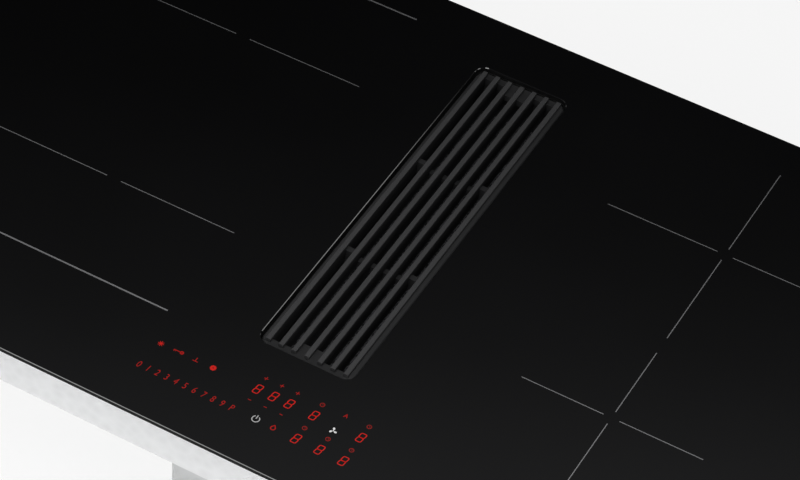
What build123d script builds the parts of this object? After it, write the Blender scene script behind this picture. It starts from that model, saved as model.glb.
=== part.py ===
"""Downdraft induction cooktop, built as an assembly of separate pieces.

Row frame: origin at the bottom centre, +X to the right, +Y to the back, +Z up. All sizes in millimetres.
"""
from build123d import *
from math import atan, cos, degrees, radians, sin, sqrt
import os

# ---------------------------------------------------------------------------------------------------------
# Driving dimensions
# ---------------------------------------------------------------------------------------------------------

# Glass
OVERALL_HEIGHT = 212.0
GLASS_WIDTH = 830.0
GLASS_DEPTH = 515.0
GLASS_THICKNESS = 4.0
GLASS_CORNER_RADIUS = 6.0
GLASS_CHAMFER = 0.8

# Opening in the glass
OPENING_WIDTH = 82.6
OPENING_FRONT_MARGIN = 109.0
OPENING_REAR_MARGIN = 55.0
OPENING_RADIUS = 9.0

# Seal under the edge of the glass, bead and carrier frame
SEAL_WIDTH = 10.0
SEAL_THICKNESS = 3.0
SEAL_INSET = 2.5
BEAD_WIDTH = 8.0
BEAD_THICKNESS = 1.2
FRAME_SHEET = 1.2
FRAME_FLANGE = 14.0
FRAME_SKIRT = 16.0

# Base pan, set back from the edges of the glass
GLASS_OVERHANG_SIDE = 43.0
GLASS_OVERHANG_FRONT = 17.5
PAN_SHEET = 1.0
PAN_RADIUS = 8.0
LOUVRE_COUNT = 8
LOUVRE_PITCH = 40.0
LOUVRE_WIDTH = 30.0
LOUVRE_HEIGHT = 4.0

# Grille
GRILLE_GAP = 1.6
GRILLE_RIM_DROP = 3.6
GRILLE_RIM_THICKNESS = 6.0
GRILLE_RIM_RADIUS = 8.0
GRILLE_RIM_EDGE = 1.0
SLAT_COUNT = 7
SLAT_PITCH = 11.17
SLAT_WIDTH = 4.0
SLAT_FOOT_WIDTH = 3.0
SLAT_HEIGHT = 16.0
SLAT_EDGE = 0.6
SLAT_END_INSET = 3.0
SLAT_FOOT_INSET = 8.0
OUTER_SLOT_INSET = 7.0
MIDDLE_SLOT_INSET = 15.6
CROSS_BAR_WIDTH = 4.8
CROSS_BAR_Y = 56.4
CROSS_BAR_SUNK_DROP = 10.0
GRILLE_PAD_LENGTH = 12.0
GRILLE_PAD_WIDTH = 2.6
GRILLE_PAD_THICKNESS = 0.7
GRILLE_PAD_END_INSET = 33.9

# Intake collar
COLLAR_WALL = 2.5
COLLAR_FLANGE = 14.0
COLLAR_FLANGE_THICKNESS = 2.5
COLLAR_LEDGE_SIDE = 4.8
COLLAR_LEDGE_END = 6.5
COLLAR_THROAT_RADIUS = 6.0
COLLAR_LEDGE_THICKNESS = 3.0
COLLAR_BELOW_PAN = 7.0
COLLAR_SEAL_WIDTH = 6.0
COLLAR_SEAL_THICKNESS = 1.0
FILTER_LIP_WIDTH = 3.5
FILTER_LIP_THICKNESS = 3.0
FILTER_LIP_DROP = 26.0

# Grease filter
FILTER_SIDE_CLEARANCE = 0.5
FILTER_FLANGE_THICKNESS = 1.2
FILTER_DEPTH = 60.0
FILTER_SHEET = 1.0
FILTER_WINDOW_COUNT = 3
FILTER_WINDOW_HEIGHT = 38.0
FILTER_WINDOW_WIDTH = 44.0
FILTER_WINDOW_BAR = 14.0
FILTER_WINDOW_END = 6.0
MESH_THICKNESS = 2.5
MESH_CLEARANCE = 0.2
MESH_HEIGHT = 48.0
HANDLE_DIAMETER = 5.0
HANDLE_DROP = 6.0

# Drip tray
TRAY_SIDE_CLEARANCE = 1.0
TRAY_HEIGHT = 32.0
TRAY_WALL = 1.8
TRAY_RADIUS = 8.0
TRAY_GRIP_WIDTH = 30.0
TRAY_GRIP_HEIGHT = 24.0
TRAY_GRIP_THICKNESS = 3.0
TRAY_GRIP_HOLE_WIDTH = 20.0
TRAY_GRIP_HOLE_HEIGHT = 8.0
TRAY_GUIDE_HEIGHT = 8.0
TRAY_GUIDE_LENGTH = 240.0
TRAY_GUIDE_THICKNESS = 2.0

# Cooking zones: the inset of their centres from the glass's edges, and the pitch from rear to front
LEFT_ZONE_SIDE_INSET = 193.85
LEFT_ZONE_REAR_INSET = 131.3
LEFT_ZONE_PITCH = 191.2
LEFT_ZONE_WIDTH = 200.0
LEFT_ZONE_DEPTH = 176.0
LEFT_ZONE_RADIUS = 60.0
RIGHT_ZONE_SIDE_INSET = 194.5
RIGHT_ZONE_REAR_INSET = 139.7
RIGHT_ZONE_PITCH = 194.2
RIGHT_FRONT_ZONE_DIAMETER = 150.0
RIGHT_REAR_ZONE_DIAMETER = 204.0

# Coil stack, from the glass down
INSULATION_THICKNESS = 3.0
WINDING_THICKNESS = 6.0
WINDING_BAND = 52.0
CARRIER_THICKNESS = 7.0
CARRIER_RIM = 4.0
FERRITE_WIDTH = 10.0
FERRITE_LENGTH = 44.0
FERRITE_THICKNESS = 4.0
FERRITE_CLEARANCE = 0.1
FERRITE_COUNT = 6
COIL_SPRING_HEIGHT = 4.0
COIL_SPRING_LENGTH = 30.0
COIL_SPRING_WIDTH = 8.0
COIL_SPRING_SHEET = 0.5
COIL_SPRING_X = 45.0
COIL_PLATE_SHEET = 1.5
COIL_PLATE_WIDTH = 214.0
COIL_PLATE_END_GAP = 10.0
COIL_PLATE_LEG_WIDTH = 71.0
COIL_PLATE_FOOT = 14.0
COIL_PLATE_HEAT_SINK_GAP = 5.9

# Power electronics
BOARD_WIDTH = 190.0
BOARD_DEPTH = 240.0
BOARD_THICKNESS = 1.6
BOARD_Y = 15.0
BOARD_TRAY_SHEET = 2.0
BOARD_POST_HEIGHT = 4.0
BOARD_POST_SIZE = 8.0
HEAT_SINK_WIDTH = 56.0
HEAT_SINK_LENGTH = 170.0
HEAT_SINK_HEIGHT = 22.0
HEAT_SINK_BASE = 4.0
HEAT_SINK_FINS = 9
HEAT_SINK_FIN_THICKNESS = 1.8
HEAT_SINK_X = -48.0
CAPACITOR_DIAMETER = 22.0
CAPACITOR_HEIGHT = 20.0
CHOKE_SIZE = 26.0
CHOKE_HEIGHT = 18.0
RELAY_WIDTH = 16.0
RELAY_LENGTH = 28.0
RELAY_HEIGHT = 14.0
RELAY_COUNT = 3
RELAY_PITCH = 22.4

# Cooling fans of the electronics
FAN_SIZE = 72.0
FAN_HEIGHT = 22.0
FAN_BORE_SIDES = 16
FAN_BORE_DIAMETER = 66.0
FAN_HUB_DIAMETER = 30.0
FAN_TIP_CLEARANCE = 1.5
FAN_BLADE_COUNT = 7
FAN_BLADE_THICKNESS = 1.4
FAN_BLADE_WIDTH = 14.6
FAN_BLADE_ROOT = 2.0
FAN_BLADE_TIP_SETBACK = 1.0
FAN_BLADE_TILT_DEGREES = 35.0
FAN_SPIDER_THICKNESS = 2.5
FAN_SPIDER_ARM = 4.0
FAN_AXLE_DIAMETER = 3.0
FAN_AXLE_CLEARANCE = 0.06
FAN_SIDE_GAP = 35.0
FAN_FRONT_GAP = 2.0
FAN_INTAKE_SLOTS = 5
FAN_INTAKE_BAR = 3.0

# Touch controls
TOUCH_X = -9.0
TOUCH_FRONT_INSET = 61.0
TOUCH_WIDTH = 206.0
TOUCH_DEPTH = 58.0
TOUCH_CARRIER_WALL = 2.0
TOUCH_CARRIER_HEIGHT = 12.0
TOUCH_BOARD_THICKNESS = 1.6
DISPLAY_HEIGHT = 3.0
DISPLAY_WIDTH = 42.0
DISPLAY_LONG_WIDTH = 54.0
DISPLAY_DEPTH = 14.0
DISPLAY_TIMER_SHIFT = 8.5
DISPLAY_ZONE_SHIFT = 62.5
DISPLAY_REAR_SHIFT = 6.5
DISPLAY_FRONT_SHIFT = -17.5

# Air box and its cover
BOX_LEFT_X = -110.0
BOX_SIDE_INSET = 15.0
BOX_FRONT_ROOM = 20.5
BOX_REAR_INSET = 8.0
BOX_WALL = 2.5
BOX_RADIUS = 12.0
BOX_FLANGE = 9.0
BOX_RIB_DEPTH = 1.5
BOX_RIB_WIDTH = 3.0
BOX_RIB_PITCH = 110.0
GASKET_THICKNESS = 2.0
GASKET_WIDTH = 7.0
COVER_THICKNESS = 3.0
COVER_SCREW_INSET = 7.8
COVER_BOSS_SIZE = 11.0
COVER_BOSS_HEIGHT = 14.0
SCREW_HEAD_DIAMETER = 7.6
SCREW_HEAD_HEIGHT = 1.8
SCREW_SHANK_DIAMETER = 3.9
SCREW_SHANK_LENGTH = 11.0
SCREW_HOLE_CLEARANCE = 0.15

# Blower, a little right of the middle between the well and the side of the air box
BLOWER_SIDE_SHIFT = 1.5
BLOWER_FRONT_DISTANCE = 150.0
DUCT_WIDTH = 222.0
DUCT_HEIGHT = 89.0
DUCT_CENTRE_Z = 62.0
DUCT_WALL = 2.0
SCROLL_TONGUE_RADIUS = 106.0
SCROLL_END_RADIUS = 150.0
SCROLL_TONGUE_DEGREES = 120.0
SCROLL_END_GAP = 7.0
SCROLL_STEPS = 20
WHEEL_RADIUS = 92.0
WHEEL_EYE_RADIUS = 74.0
WHEEL_FLOOR_GAP = 5.5
WHEEL_TOP_GAP = 8.5
WHEEL_PLATE = 2.0
WHEEL_RING_WIDTH = 5.0
WHEEL_RING_HEIGHT = 3.0
WHEEL_DOME_RADIUS = 50.0
WHEEL_HUB_RADIUS = 14.0
WHEEL_HUB_HEIGHT = 14.0
BLADE_COUNT = 24
BLADE_THICKNESS = 1.3
BLADE_SWEEP_DEGREES = 9.0
BLADE_BULGE = 3.2
SHAFT_RADIUS = 4.0
SHAFT_CLEARANCE = 0.05
MOTOR_FLANGE_RADIUS = 46.0
MOTOR_FLANGE_THICKNESS = 3.0
MOTOR_CAN_RADIUS = 42.0
MOTOR_CAN_HEIGHT = 34.0
MOTOR_BOSS_RADIUS = 15.0
MOTOR_BOSS_HEIGHT = 5.0
MOTOR_DOME_GAP = 3.0
MOTOR_SCREW_CIRCLE = 39.0
MOTOR_SCREW_COUNT = 3
INLET_LIP_RADIUS = 70.0
INLET_MOUTH_RADIUS = 86.0
INLET_FLANGE_RADIUS = 100.0
INLET_SHEET = 2.0
INLET_DEPTH = 12.0
INLET_HOLE_RADIUS = 90.0
RING_SIDES = 30
BLOWER_FOOT_SIZE = 16.0
BLOWER_FOOT_X = 62.0
BLOWER_FOOT_Y = 62.0

# Duct outlet
SPIGOT_LENGTH = 12.0
SPIGOT_FLANGE_MARGIN = 14.0
SPIGOT_FLANGE_THICKNESS = 2.0
SPIGOT_SCREW_SPACING_X = 236.0
SPIGOT_SCREW_SPACING_Z = 102.0
SPIGOT_SCREW_HOLE_RADIUS = 2.1
SPIGOT_CLEARANCE = 0.3

# Terminal box
TERMINAL_SIDE_INSET = 102.0
TERMINAL_REAR_INSET = 58.0
TERMINAL_WIDTH = 120.0
TERMINAL_DEPTH = 78.0
TERMINAL_HEIGHT = 28.0
TERMINAL_WALL = 2.5
CABLE_HOLE_RADIUS = 10.0
LID_THICKNESS = 2.5
LID_GAP = 0.3
LID_KNUCKLE_RADIUS = 4.0
LID_KNUCKLE_LENGTH = 60.0
LID_EAR_LENGTH = 12.0
LID_PIN_RADIUS = 1.5
LID_PIN_CLEARANCE = 0.06
GLAND_BODY_RADIUS = 10.0
GLAND_HEX_WIDTH = 24.0
GLAND_HEX_LENGTH = 6.0
GLAND_DOME_LENGTH = 11.0
GLAND_BORE_RADIUS = 6.5
GLAND_TAPER = 8.0
BLOCK_WIDTH = 72.0
BLOCK_DEPTH = 24.0
BLOCK_HEIGHT = 16.0
BLOCK_WAYS = 6

# Spring clips at the sides of the pan
CLIP_Y = 150.0
CLIP_WIDTH = 22.0
CLIP_SHEET = 0.8
CLIP_HEIGHT = 34.0
CLIP_BULGE = 5.0
CLIP_TOP_DROP = 12.0
CLIP_FOOT = 12.0
CLIP_SCREW_HEAD_RADIUS = 3.2
CLIP_SCREW_HEAD_HEIGHT = 1.8
CLIP_SCREW_RADIUS = 1.6
CLIP_SCREW_LENGTH = 7.0

# Running and seating gaps
SEAT_GAP = 0.3
HOLE_CLEARANCE = 0.5

# Flats of small round pieces, and of each corner below the glass
PEG_SIDES = 10
SCREW_SIDES = 6
CORNER_STEPS = 4

# ---------------------------------------------------------------------------------------------------------
# Heights and places that follow from them
# ---------------------------------------------------------------------------------------------------------

GLASS_BOTTOM_Z = OVERALL_HEIGHT - GLASS_THICKNESS
FRAME_TOP_Z = GLASS_BOTTOM_Z - BEAD_THICKNESS
PAN_TOP_Z = FRAME_TOP_Z - FRAME_SHEET
PAN_WIDTH = GLASS_WIDTH - 2 * GLASS_OVERHANG_SIDE
PAN_DEPTH = GLASS_DEPTH - 2 * GLASS_OVERHANG_FRONT
OPENING_LENGTH = GLASS_DEPTH - OPENING_FRONT_MARGIN - OPENING_REAR_MARGIN
OPENING_Y = (OPENING_FRONT_MARGIN - OPENING_REAR_MARGIN) / 2

INSULATION_Z = GLASS_BOTTOM_Z - INSULATION_THICKNESS
WINDING_Z = INSULATION_Z - WINDING_THICKNESS
CARRIER_Z = WINDING_Z - CARRIER_THICKNESS
COIL_PLATE_TOP_Z = CARRIER_Z - COIL_SPRING_HEIGHT
COIL_PLATE_Z = COIL_PLATE_TOP_Z - COIL_PLATE_SHEET
BOARD_TOP_Z = COIL_PLATE_Z - COIL_PLATE_HEAT_SINK_GAP - HEAT_SINK_HEIGHT
BOARD_Z = BOARD_TOP_Z - BOARD_THICKNESS
PAN_FLOOR_Z = BOARD_Z - BOARD_POST_HEIGHT - BOARD_TRAY_SHEET
PAN_BOTTOM_Z = PAN_FLOOR_Z - PAN_SHEET

RIM_WIDTH = OPENING_WIDTH - 2 * GRILLE_GAP
RIM_LENGTH = OPENING_LENGTH - 2 * GRILLE_GAP
RIM_TOP_Z = OVERALL_HEIGHT - GRILLE_RIM_DROP
RIM_BOTTOM_Z = RIM_TOP_Z - GRILLE_RIM_THICKNESS
SLAT_BOTTOM_Z = OVERALL_HEIGHT - SLAT_HEIGHT
LEDGE_Z = RIM_BOTTOM_Z - GRILLE_PAD_THICKNESS - SEAT_GAP
GRILLE_PAD_Y = RIM_LENGTH / 2 - GRILLE_PAD_END_INSET

COLLAR_TOP_Z = GLASS_BOTTOM_Z - COLLAR_SEAL_THICKNESS
COLLAR_BOTTOM_Z = PAN_BOTTOM_Z - COLLAR_BELOW_PAN
COLLAR_THROAT_WIDTH = OPENING_WIDTH - 2 * COLLAR_LEDGE_SIDE
COLLAR_THROAT_LENGTH = OPENING_LENGTH - 2 * COLLAR_LEDGE_END
LIP_TOP_Z = OVERALL_HEIGHT - FILTER_LIP_DROP
LIP_WIDTH = COLLAR_THROAT_WIDTH - 2 * FILTER_LIP_WIDTH
LIP_LENGTH = COLLAR_THROAT_LENGTH - 2 * FILTER_LIP_WIDTH
COLLAR_TUBE_WIDTH = COLLAR_THROAT_WIDTH + 2 * COLLAR_WALL
COLLAR_TUBE_LENGTH = COLLAR_THROAT_LENGTH + 2 * COLLAR_WALL

FILTER_FLANGE_Z = LIP_TOP_Z + SEAT_GAP
FILTER_WIDTH = LIP_WIDTH - 2 * FILTER_SIDE_CLEARANCE
FILTER_LENGTH = LIP_LENGTH - 2 * FILTER_SIDE_CLEARANCE
FILTER_BOTTOM_Z = FILTER_FLANGE_Z - FILTER_DEPTH
FILTER_WINDOW_ROOM = FILTER_LENGTH - 2 * FILTER_WINDOW_END + FILTER_WINDOW_BAR
FILTER_WINDOW_PITCH = FILTER_WINDOW_ROOM / FILTER_WINDOW_COUNT
FILTER_WINDOW_LENGTH = FILTER_WINDOW_PITCH - FILTER_WINDOW_BAR

TRAY_WIDTH = LIP_WIDTH - 2 * TRAY_SIDE_CLEARANCE
TRAY_LENGTH = LIP_LENGTH - 2 * TRAY_SIDE_CLEARANCE
TRAY_BOTTOM_Z = COVER_THICKNESS + SEAT_GAP

LEFT_ZONE_X = LEFT_ZONE_SIDE_INSET - GLASS_WIDTH / 2
LEFT_REAR_ZONE_Y = GLASS_DEPTH / 2 - LEFT_ZONE_REAR_INSET
LEFT_FRONT_ZONE_Y = LEFT_REAR_ZONE_Y - LEFT_ZONE_PITCH
RIGHT_ZONE_X = GLASS_WIDTH / 2 - RIGHT_ZONE_SIDE_INSET
RIGHT_REAR_ZONE_Y = GLASS_DEPTH / 2 - RIGHT_ZONE_REAR_INSET
RIGHT_FRONT_ZONE_Y = RIGHT_REAR_ZONE_Y - RIGHT_ZONE_PITCH
TOUCH_Y = TOUCH_FRONT_INSET - GLASS_DEPTH / 2

FAN_X = PAN_WIDTH / 2 - PAN_SHEET - FAN_SIDE_GAP - FAN_SIZE / 2
FAN_Y = -(PAN_DEPTH / 2 - PAN_SHEET - FAN_FRONT_GAP - FAN_SIZE / 2)

BOX_RIGHT_X = PAN_WIDTH / 2 - BOX_SIDE_INSET
BOX_FRONT_Y = OPENING_Y - COLLAR_TUBE_LENGTH / 2 - BOX_FRONT_ROOM
BOX_REAR_Y = PAN_DEPTH / 2 - BOX_REAR_INSET
BOX_WIDTH = BOX_RIGHT_X - BOX_LEFT_X
BOX_DEPTH = BOX_REAR_Y - BOX_FRONT_Y
BOX_X = (BOX_RIGHT_X + BOX_LEFT_X) / 2
BOX_Y = (BOX_REAR_Y + BOX_FRONT_Y) / 2
BOX_TOP_Z = PAN_BOTTOM_Z - GASKET_THICKNESS
BOX_SHAPE = (BOX_WIDTH, BOX_DEPTH, BOX_RADIUS)

BLOWER_X = BOX_RIGHT_X / 2 + BLOWER_SIDE_SHIFT
BLOWER_Y = BOX_FRONT_Y + BLOWER_FRONT_DISTANCE
DUCT_BOTTOM_Z = DUCT_CENTRE_Z - DUCT_HEIGHT / 2
DUCT_TOP_Z = DUCT_CENTRE_Z + DUCT_HEIGHT / 2
SCROLL_FLOOR_Z = DUCT_BOTTOM_Z + DUCT_WALL
SCROLL_ROOF_Z = DUCT_TOP_Z - DUCT_WALL
DUCT_X = BLOWER_X + SCROLL_END_RADIUS + DUCT_WALL - DUCT_WIDTH / 2
SCROLL_END_Y = BOX_REAR_Y - SCROLL_END_GAP

WHEEL_Z = SCROLL_FLOOR_Z + WHEEL_FLOOR_GAP
WHEEL_TOP_Z = SCROLL_ROOF_Z - WHEEL_TOP_GAP
MOTOR_Z = SCROLL_FLOOR_Z
MOTOR_TOP_Z = MOTOR_Z + MOTOR_FLANGE_THICKNESS + MOTOR_CAN_HEIGHT + MOTOR_BOSS_HEIGHT
DOME_INNER_Z = MOTOR_TOP_Z + MOTOR_DOME_GAP
DOME_TOP_Z = DOME_INNER_Z + WHEEL_PLATE
HUB_TOP_Z = DOME_TOP_Z + WHEEL_HUB_HEIGHT
RING_Z = WHEEL_TOP_Z - WHEEL_RING_HEIGHT

TERMINAL_X = TERMINAL_SIDE_INSET - PAN_WIDTH / 2
TERMINAL_Y = PAN_DEPTH / 2 - TERMINAL_REAR_INSET
TERMINAL_Z = PAN_BOTTOM_Z - TERMINAL_HEIGHT
LID_Z = TERMINAL_Z - LID_GAP - LID_THICKNESS
LID_HINGE_Y = TERMINAL_Y - TERMINAL_DEPTH / 2 - LID_KNUCKLE_RADIUS - LID_GAP
LID_HINGE_Z = TERMINAL_Z + LID_KNUCKLE_RADIUS

WELL = (0.0, OPENING_Y)
BODY = (0.0, 0.0)
BOX = (BOX_X, BOX_Y)

# The centre of each coil, and its outline: (width, depth, corner radius)
COILS = {
    "left_front": (
        (LEFT_ZONE_X, LEFT_FRONT_ZONE_Y),
        (LEFT_ZONE_WIDTH, LEFT_ZONE_DEPTH, LEFT_ZONE_RADIUS),
    ),
    "left_rear": (
        (LEFT_ZONE_X, LEFT_REAR_ZONE_Y),
        (LEFT_ZONE_WIDTH, LEFT_ZONE_DEPTH, LEFT_ZONE_RADIUS),
    ),
    "right_front": (
        (RIGHT_ZONE_X, RIGHT_FRONT_ZONE_Y),
        (RIGHT_FRONT_ZONE_DIAMETER, RIGHT_FRONT_ZONE_DIAMETER, RIGHT_FRONT_ZONE_DIAMETER / 2),
    ),
    "right_rear": (
        (RIGHT_ZONE_X, RIGHT_REAR_ZONE_Y),
        (RIGHT_REAR_ZONE_DIAMETER, RIGHT_REAR_ZONE_DIAMETER, RIGHT_REAR_ZONE_DIAMETER / 2),
    ),
}
SIDES = {"left": LEFT_ZONE_X, "right": RIGHT_ZONE_X}
FAN_SIDES = {"left": -FAN_X, "right": FAN_X}


# ---------------------------------------------------------------------------------------------------------
# Shapes that repeat
# ---------------------------------------------------------------------------------------------------------


def slab(width, depth, radius, z, height, centre=BODY):
    """A plate with rounded corners that stands on z."""
    return Pos(centre[0], centre[1], z) * extrude(RectangleRounded(width, depth, radius), amount=height)


def stepped_face(shape, inset=0.0):
    """A rounded rectangle or circle, drawn in by an inset, whose corners turn in a few straight steps."""
    width, depth, radius = shape
    turn = radius - inset
    last_step = CORNER_STEPS if radius < width / 2 else CORNER_STEPS - 1
    points = []
    for quarter, (side_x, side_y) in enumerate(((1, 1), (-1, 1), (-1, -1), (1, -1))):
        corner_x = side_x * (width / 2 - radius)
        corner_y = side_y * (depth / 2 - radius)
        for step in range(last_step + 1):
            angle = radians(90 * (quarter + step / CORNER_STEPS))
            points.append((corner_x + turn * cos(angle), corner_y + turn * sin(angle)))
    return make_face(Polyline(*points, close=True))


def stepped_slab(centre, shape, z, height, inset=0.0):
    """A plate of that outline that stands on z."""
    return Pos(centre[0], centre[1], z) * extrude(stepped_face(shape, inset), amount=height)


def stepped_band(centre, shape, wall, z, height):
    """A closed band of that outline, wall thick."""
    return stepped_slab(centre, shape, z, height) - stepped_slab(centre, shape, z, height, wall)


def block(width, depth, height, x, y, z):
    """A square block, centred on x and y, that stands on z."""
    return Pos(x, y, z + height / 2) * Box(width, depth, height)


def rod(radius, height, x, y, z):
    """An upright cylinder that stands on z."""
    return Pos(x, y, z + height / 2) * Cylinder(radius, height)


def frame_bar(width, depth, wall, z, height, centre=BODY):
    """A closed frame with mitred corners, measured outside, wall thick."""
    outer = block(width, depth, height, centre[0], centre[1], z)
    return outer - block(width - 2 * wall, depth - 2 * wall, height, centre[0], centre[1], z)


def peg(radius, height, x, y, z, sides=PEG_SIDES):
    """A small upright round piece with flats, which stands on z."""
    return Pos(x, y, z) * extrude(RegularPolygon(radius, sides), amount=height)


def corner_ring(radius, z, sides):
    """Corners of a level polygon round the blower's axis."""
    angles = [radians(360 * index / sides) for index in range(sides)]
    return [(BLOWER_X + radius * cos(angle), BLOWER_Y + radius * sin(angle), z) for angle in angles]


def funnel(bottom_radius, top_radius, bottom, top, sides):
    """A solid with flat sides round the blower's axis, which widens upwards."""
    foot = corner_ring(bottom_radius, bottom, sides)
    mouth = corner_ring(top_radius, top, sides)
    outlines = [foot, mouth]
    for index in range(sides):
        after = (index + 1) % sides
        outlines.append([foot[index], foot[after], mouth[after], mouth[index]])
    return Solid(Shell([make_face(Polyline(*outline, close=True)).face() for outline in outlines]))


def group(pieces):
    """Separate solids that share one node."""
    return Compound(children=[solid for piece in pieces for solid in piece.solids()])


def corner_places(spacing_x, spacing_y, centre=BODY):
    """Four places on the corners of a rectangle."""
    return [
        (centre[0] + side_x * spacing_x / 2, centre[1] + side_y * spacing_y / 2)
        for side_x in (-1, 1)
        for side_y in (-1, 1)
    ]


# ---------------------------------------------------------------------------------------------------------
# Glass, seal and carrier frame
# ---------------------------------------------------------------------------------------------------------


def make_glass_plate():
    plate = slab(GLASS_WIDTH, GLASS_DEPTH, GLASS_CORNER_RADIUS, GLASS_BOTTOM_Z, GLASS_THICKNESS)
    plate -= slab(OPENING_WIDTH, OPENING_LENGTH, OPENING_RADIUS, GLASS_BOTTOM_Z, GLASS_THICKNESS, WELL)
    return chamfer(plate.faces().sort_by(Axis.Z)[-1].edges(), GLASS_CHAMFER)


def make_worktop_seal():
    width = GLASS_WIDTH - 2 * SEAL_INSET
    depth = GLASS_DEPTH - 2 * SEAL_INSET
    bottom = GLASS_BOTTOM_Z - SEAL_THICKNESS
    return frame_bar(width, depth, SEAL_WIDTH, bottom, SEAL_THICKNESS)


def make_glass_adhesive():
    inset = (FRAME_FLANGE - BEAD_WIDTH) / 2
    width = PAN_WIDTH - 2 * inset
    depth = PAN_DEPTH - 2 * inset
    return frame_bar(width, depth, BEAD_WIDTH, FRAME_TOP_Z, BEAD_THICKNESS)


def make_carrier_frame():
    """A flange under the glass with a skirt at each side that hangs inside the pan's wall."""
    frame = frame_bar(PAN_WIDTH, PAN_DEPTH, FRAME_FLANGE, PAN_TOP_Z, FRAME_SHEET)
    inset = PAN_SHEET + HOLE_CLEARANCE / 2 + FRAME_SHEET / 2
    skirt_width = PAN_WIDTH - 2 * PAN_RADIUS - FRAME_FLANGE
    skirt_depth = PAN_DEPTH - 2 * PAN_RADIUS - FRAME_FLANGE
    skirt_z = PAN_TOP_Z - FRAME_SKIRT
    for side in (-1, 1):
        frame += block(skirt_width, FRAME_SHEET, FRAME_SKIRT, 0, side * (PAN_DEPTH / 2 - inset), skirt_z)
        frame += block(FRAME_SHEET, skirt_depth, FRAME_SKIRT, side * (PAN_WIDTH / 2 - inset), 0, skirt_z)
    return frame


# ---------------------------------------------------------------------------------------------------------
# Base pan
# ---------------------------------------------------------------------------------------------------------


def fan_intake_slots(x):
    """Straight slots below a cooling fan, each as long as the fan's bore is at that place."""
    slot = (FAN_BORE_DIAMETER - (FAN_INTAKE_SLOTS - 1) * FAN_INTAKE_BAR) / FAN_INTAKE_SLOTS
    slots = []
    for index in range(FAN_INTAKE_SLOTS):
        offset = (index - (FAN_INTAKE_SLOTS - 1) / 2) * (slot + FAN_INTAKE_BAR)
        far_edge = abs(offset) + slot / 2 - FAN_INTAKE_BAR
        length = 2 * sqrt(max((FAN_BORE_DIAMETER / 2) ** 2 - far_edge**2, slot**2))
        slots.append(block(slot, length, PAN_SHEET, x + offset, FAN_Y, PAN_BOTTOM_Z))
    return slots


def make_base_pan():
    height = PAN_TOP_Z - PAN_BOTTOM_Z
    shape = (PAN_WIDTH, PAN_DEPTH, PAN_RADIUS)
    pan = stepped_slab(BODY, shape, PAN_BOTTOM_Z, height)
    pan -= stepped_slab(BODY, shape, PAN_FLOOR_Z, height, PAN_SHEET)
    hole_width = COLLAR_TUBE_WIDTH + 2 * HOLE_CLEARANCE
    hole_length = COLLAR_TUBE_LENGTH + 2 * HOLE_CLEARANCE
    pan -= block(hole_width, hole_length, PAN_SHEET, *WELL, PAN_BOTTOM_Z)
    for x in FAN_SIDES.values():
        for slot in fan_intake_slots(x):
            pan -= slot
    pan -= peg(CABLE_HOLE_RADIUS, PAN_SHEET, TERMINAL_X, TERMINAL_Y, PAN_BOTTOM_Z)
    louvre_z = (PAN_FLOOR_Z + COIL_PLATE_Z) / 2 - LOUVRE_HEIGHT / 2
    for side_x in SIDES.values():
        for index in range(LOUVRE_COUNT // 2):
            x = side_x + (index - (LOUVRE_COUNT // 2 - 1) / 2) * LOUVRE_PITCH
            pan -= block(LOUVRE_WIDTH, 3 * PAN_SHEET, LOUVRE_HEIGHT, x, PAN_DEPTH / 2, louvre_z)
    for side in (-1, 1):
        for y in (-CLIP_Y, CLIP_Y):
            pan -= clip_screw_shank(side, y)
    return pan


# ---------------------------------------------------------------------------------------------------------
# Intake collar, grille, filter and drip tray
# ---------------------------------------------------------------------------------------------------------


def make_intake_collar():
    recess_width = OPENING_WIDTH + 2 * COLLAR_WALL
    recess_length = OPENING_LENGTH + 2 * COLLAR_WALL
    ledge_bottom = LEDGE_Z - COLLAR_LEDGE_THICKNESS
    collar = block(recess_width, recess_length, COLLAR_TOP_Z - ledge_bottom, *WELL, ledge_bottom)
    flange_width = OPENING_WIDTH + 2 * COLLAR_FLANGE
    flange_length = OPENING_LENGTH + 2 * COLLAR_FLANGE
    flange_z = COLLAR_TOP_Z - COLLAR_FLANGE_THICKNESS
    collar += block(flange_width, flange_length, COLLAR_FLANGE_THICKNESS, *WELL, flange_z)
    collar += block(COLLAR_TUBE_WIDTH, COLLAR_TUBE_LENGTH, LEDGE_Z - COLLAR_BOTTOM_Z, *WELL, COLLAR_BOTTOM_Z)
    collar -= slab(OPENING_WIDTH, OPENING_LENGTH, OPENING_RADIUS, LEDGE_Z, COLLAR_TOP_Z - LEDGE_Z, WELL)
    throat = (COLLAR_THROAT_WIDTH, COLLAR_THROAT_LENGTH, COLLAR_THROAT_RADIUS)
    collar -= stepped_slab(WELL, throat, COLLAR_BOTTOM_Z, LEDGE_Z - COLLAR_BOTTOM_Z)
    lip_z = LIP_TOP_Z - FILTER_LIP_THICKNESS
    lip_width = COLLAR_THROAT_WIDTH + COLLAR_WALL
    lip_length = COLLAR_THROAT_LENGTH + COLLAR_WALL
    lip_depth = FILTER_LIP_WIDTH + COLLAR_WALL / 2
    return collar + frame_bar(lip_width, lip_length, lip_depth, lip_z, FILTER_LIP_THICKNESS, WELL)


def make_collar_seal():
    width = OPENING_WIDTH + 2 * COLLAR_FLANGE - COLLAR_SEAL_WIDTH
    length = OPENING_LENGTH + 2 * COLLAR_FLANGE - COLLAR_SEAL_WIDTH
    seal = block(width, length, COLLAR_SEAL_THICKNESS, *WELL, COLLAR_TOP_Z)
    inner_width = width - 2 * COLLAR_SEAL_WIDTH
    inner_length = length - 2 * COLLAR_SEAL_WIDTH
    return seal - block(inner_width, inner_length, COLLAR_SEAL_THICKNESS, *WELL, COLLAR_TOP_Z)


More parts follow.
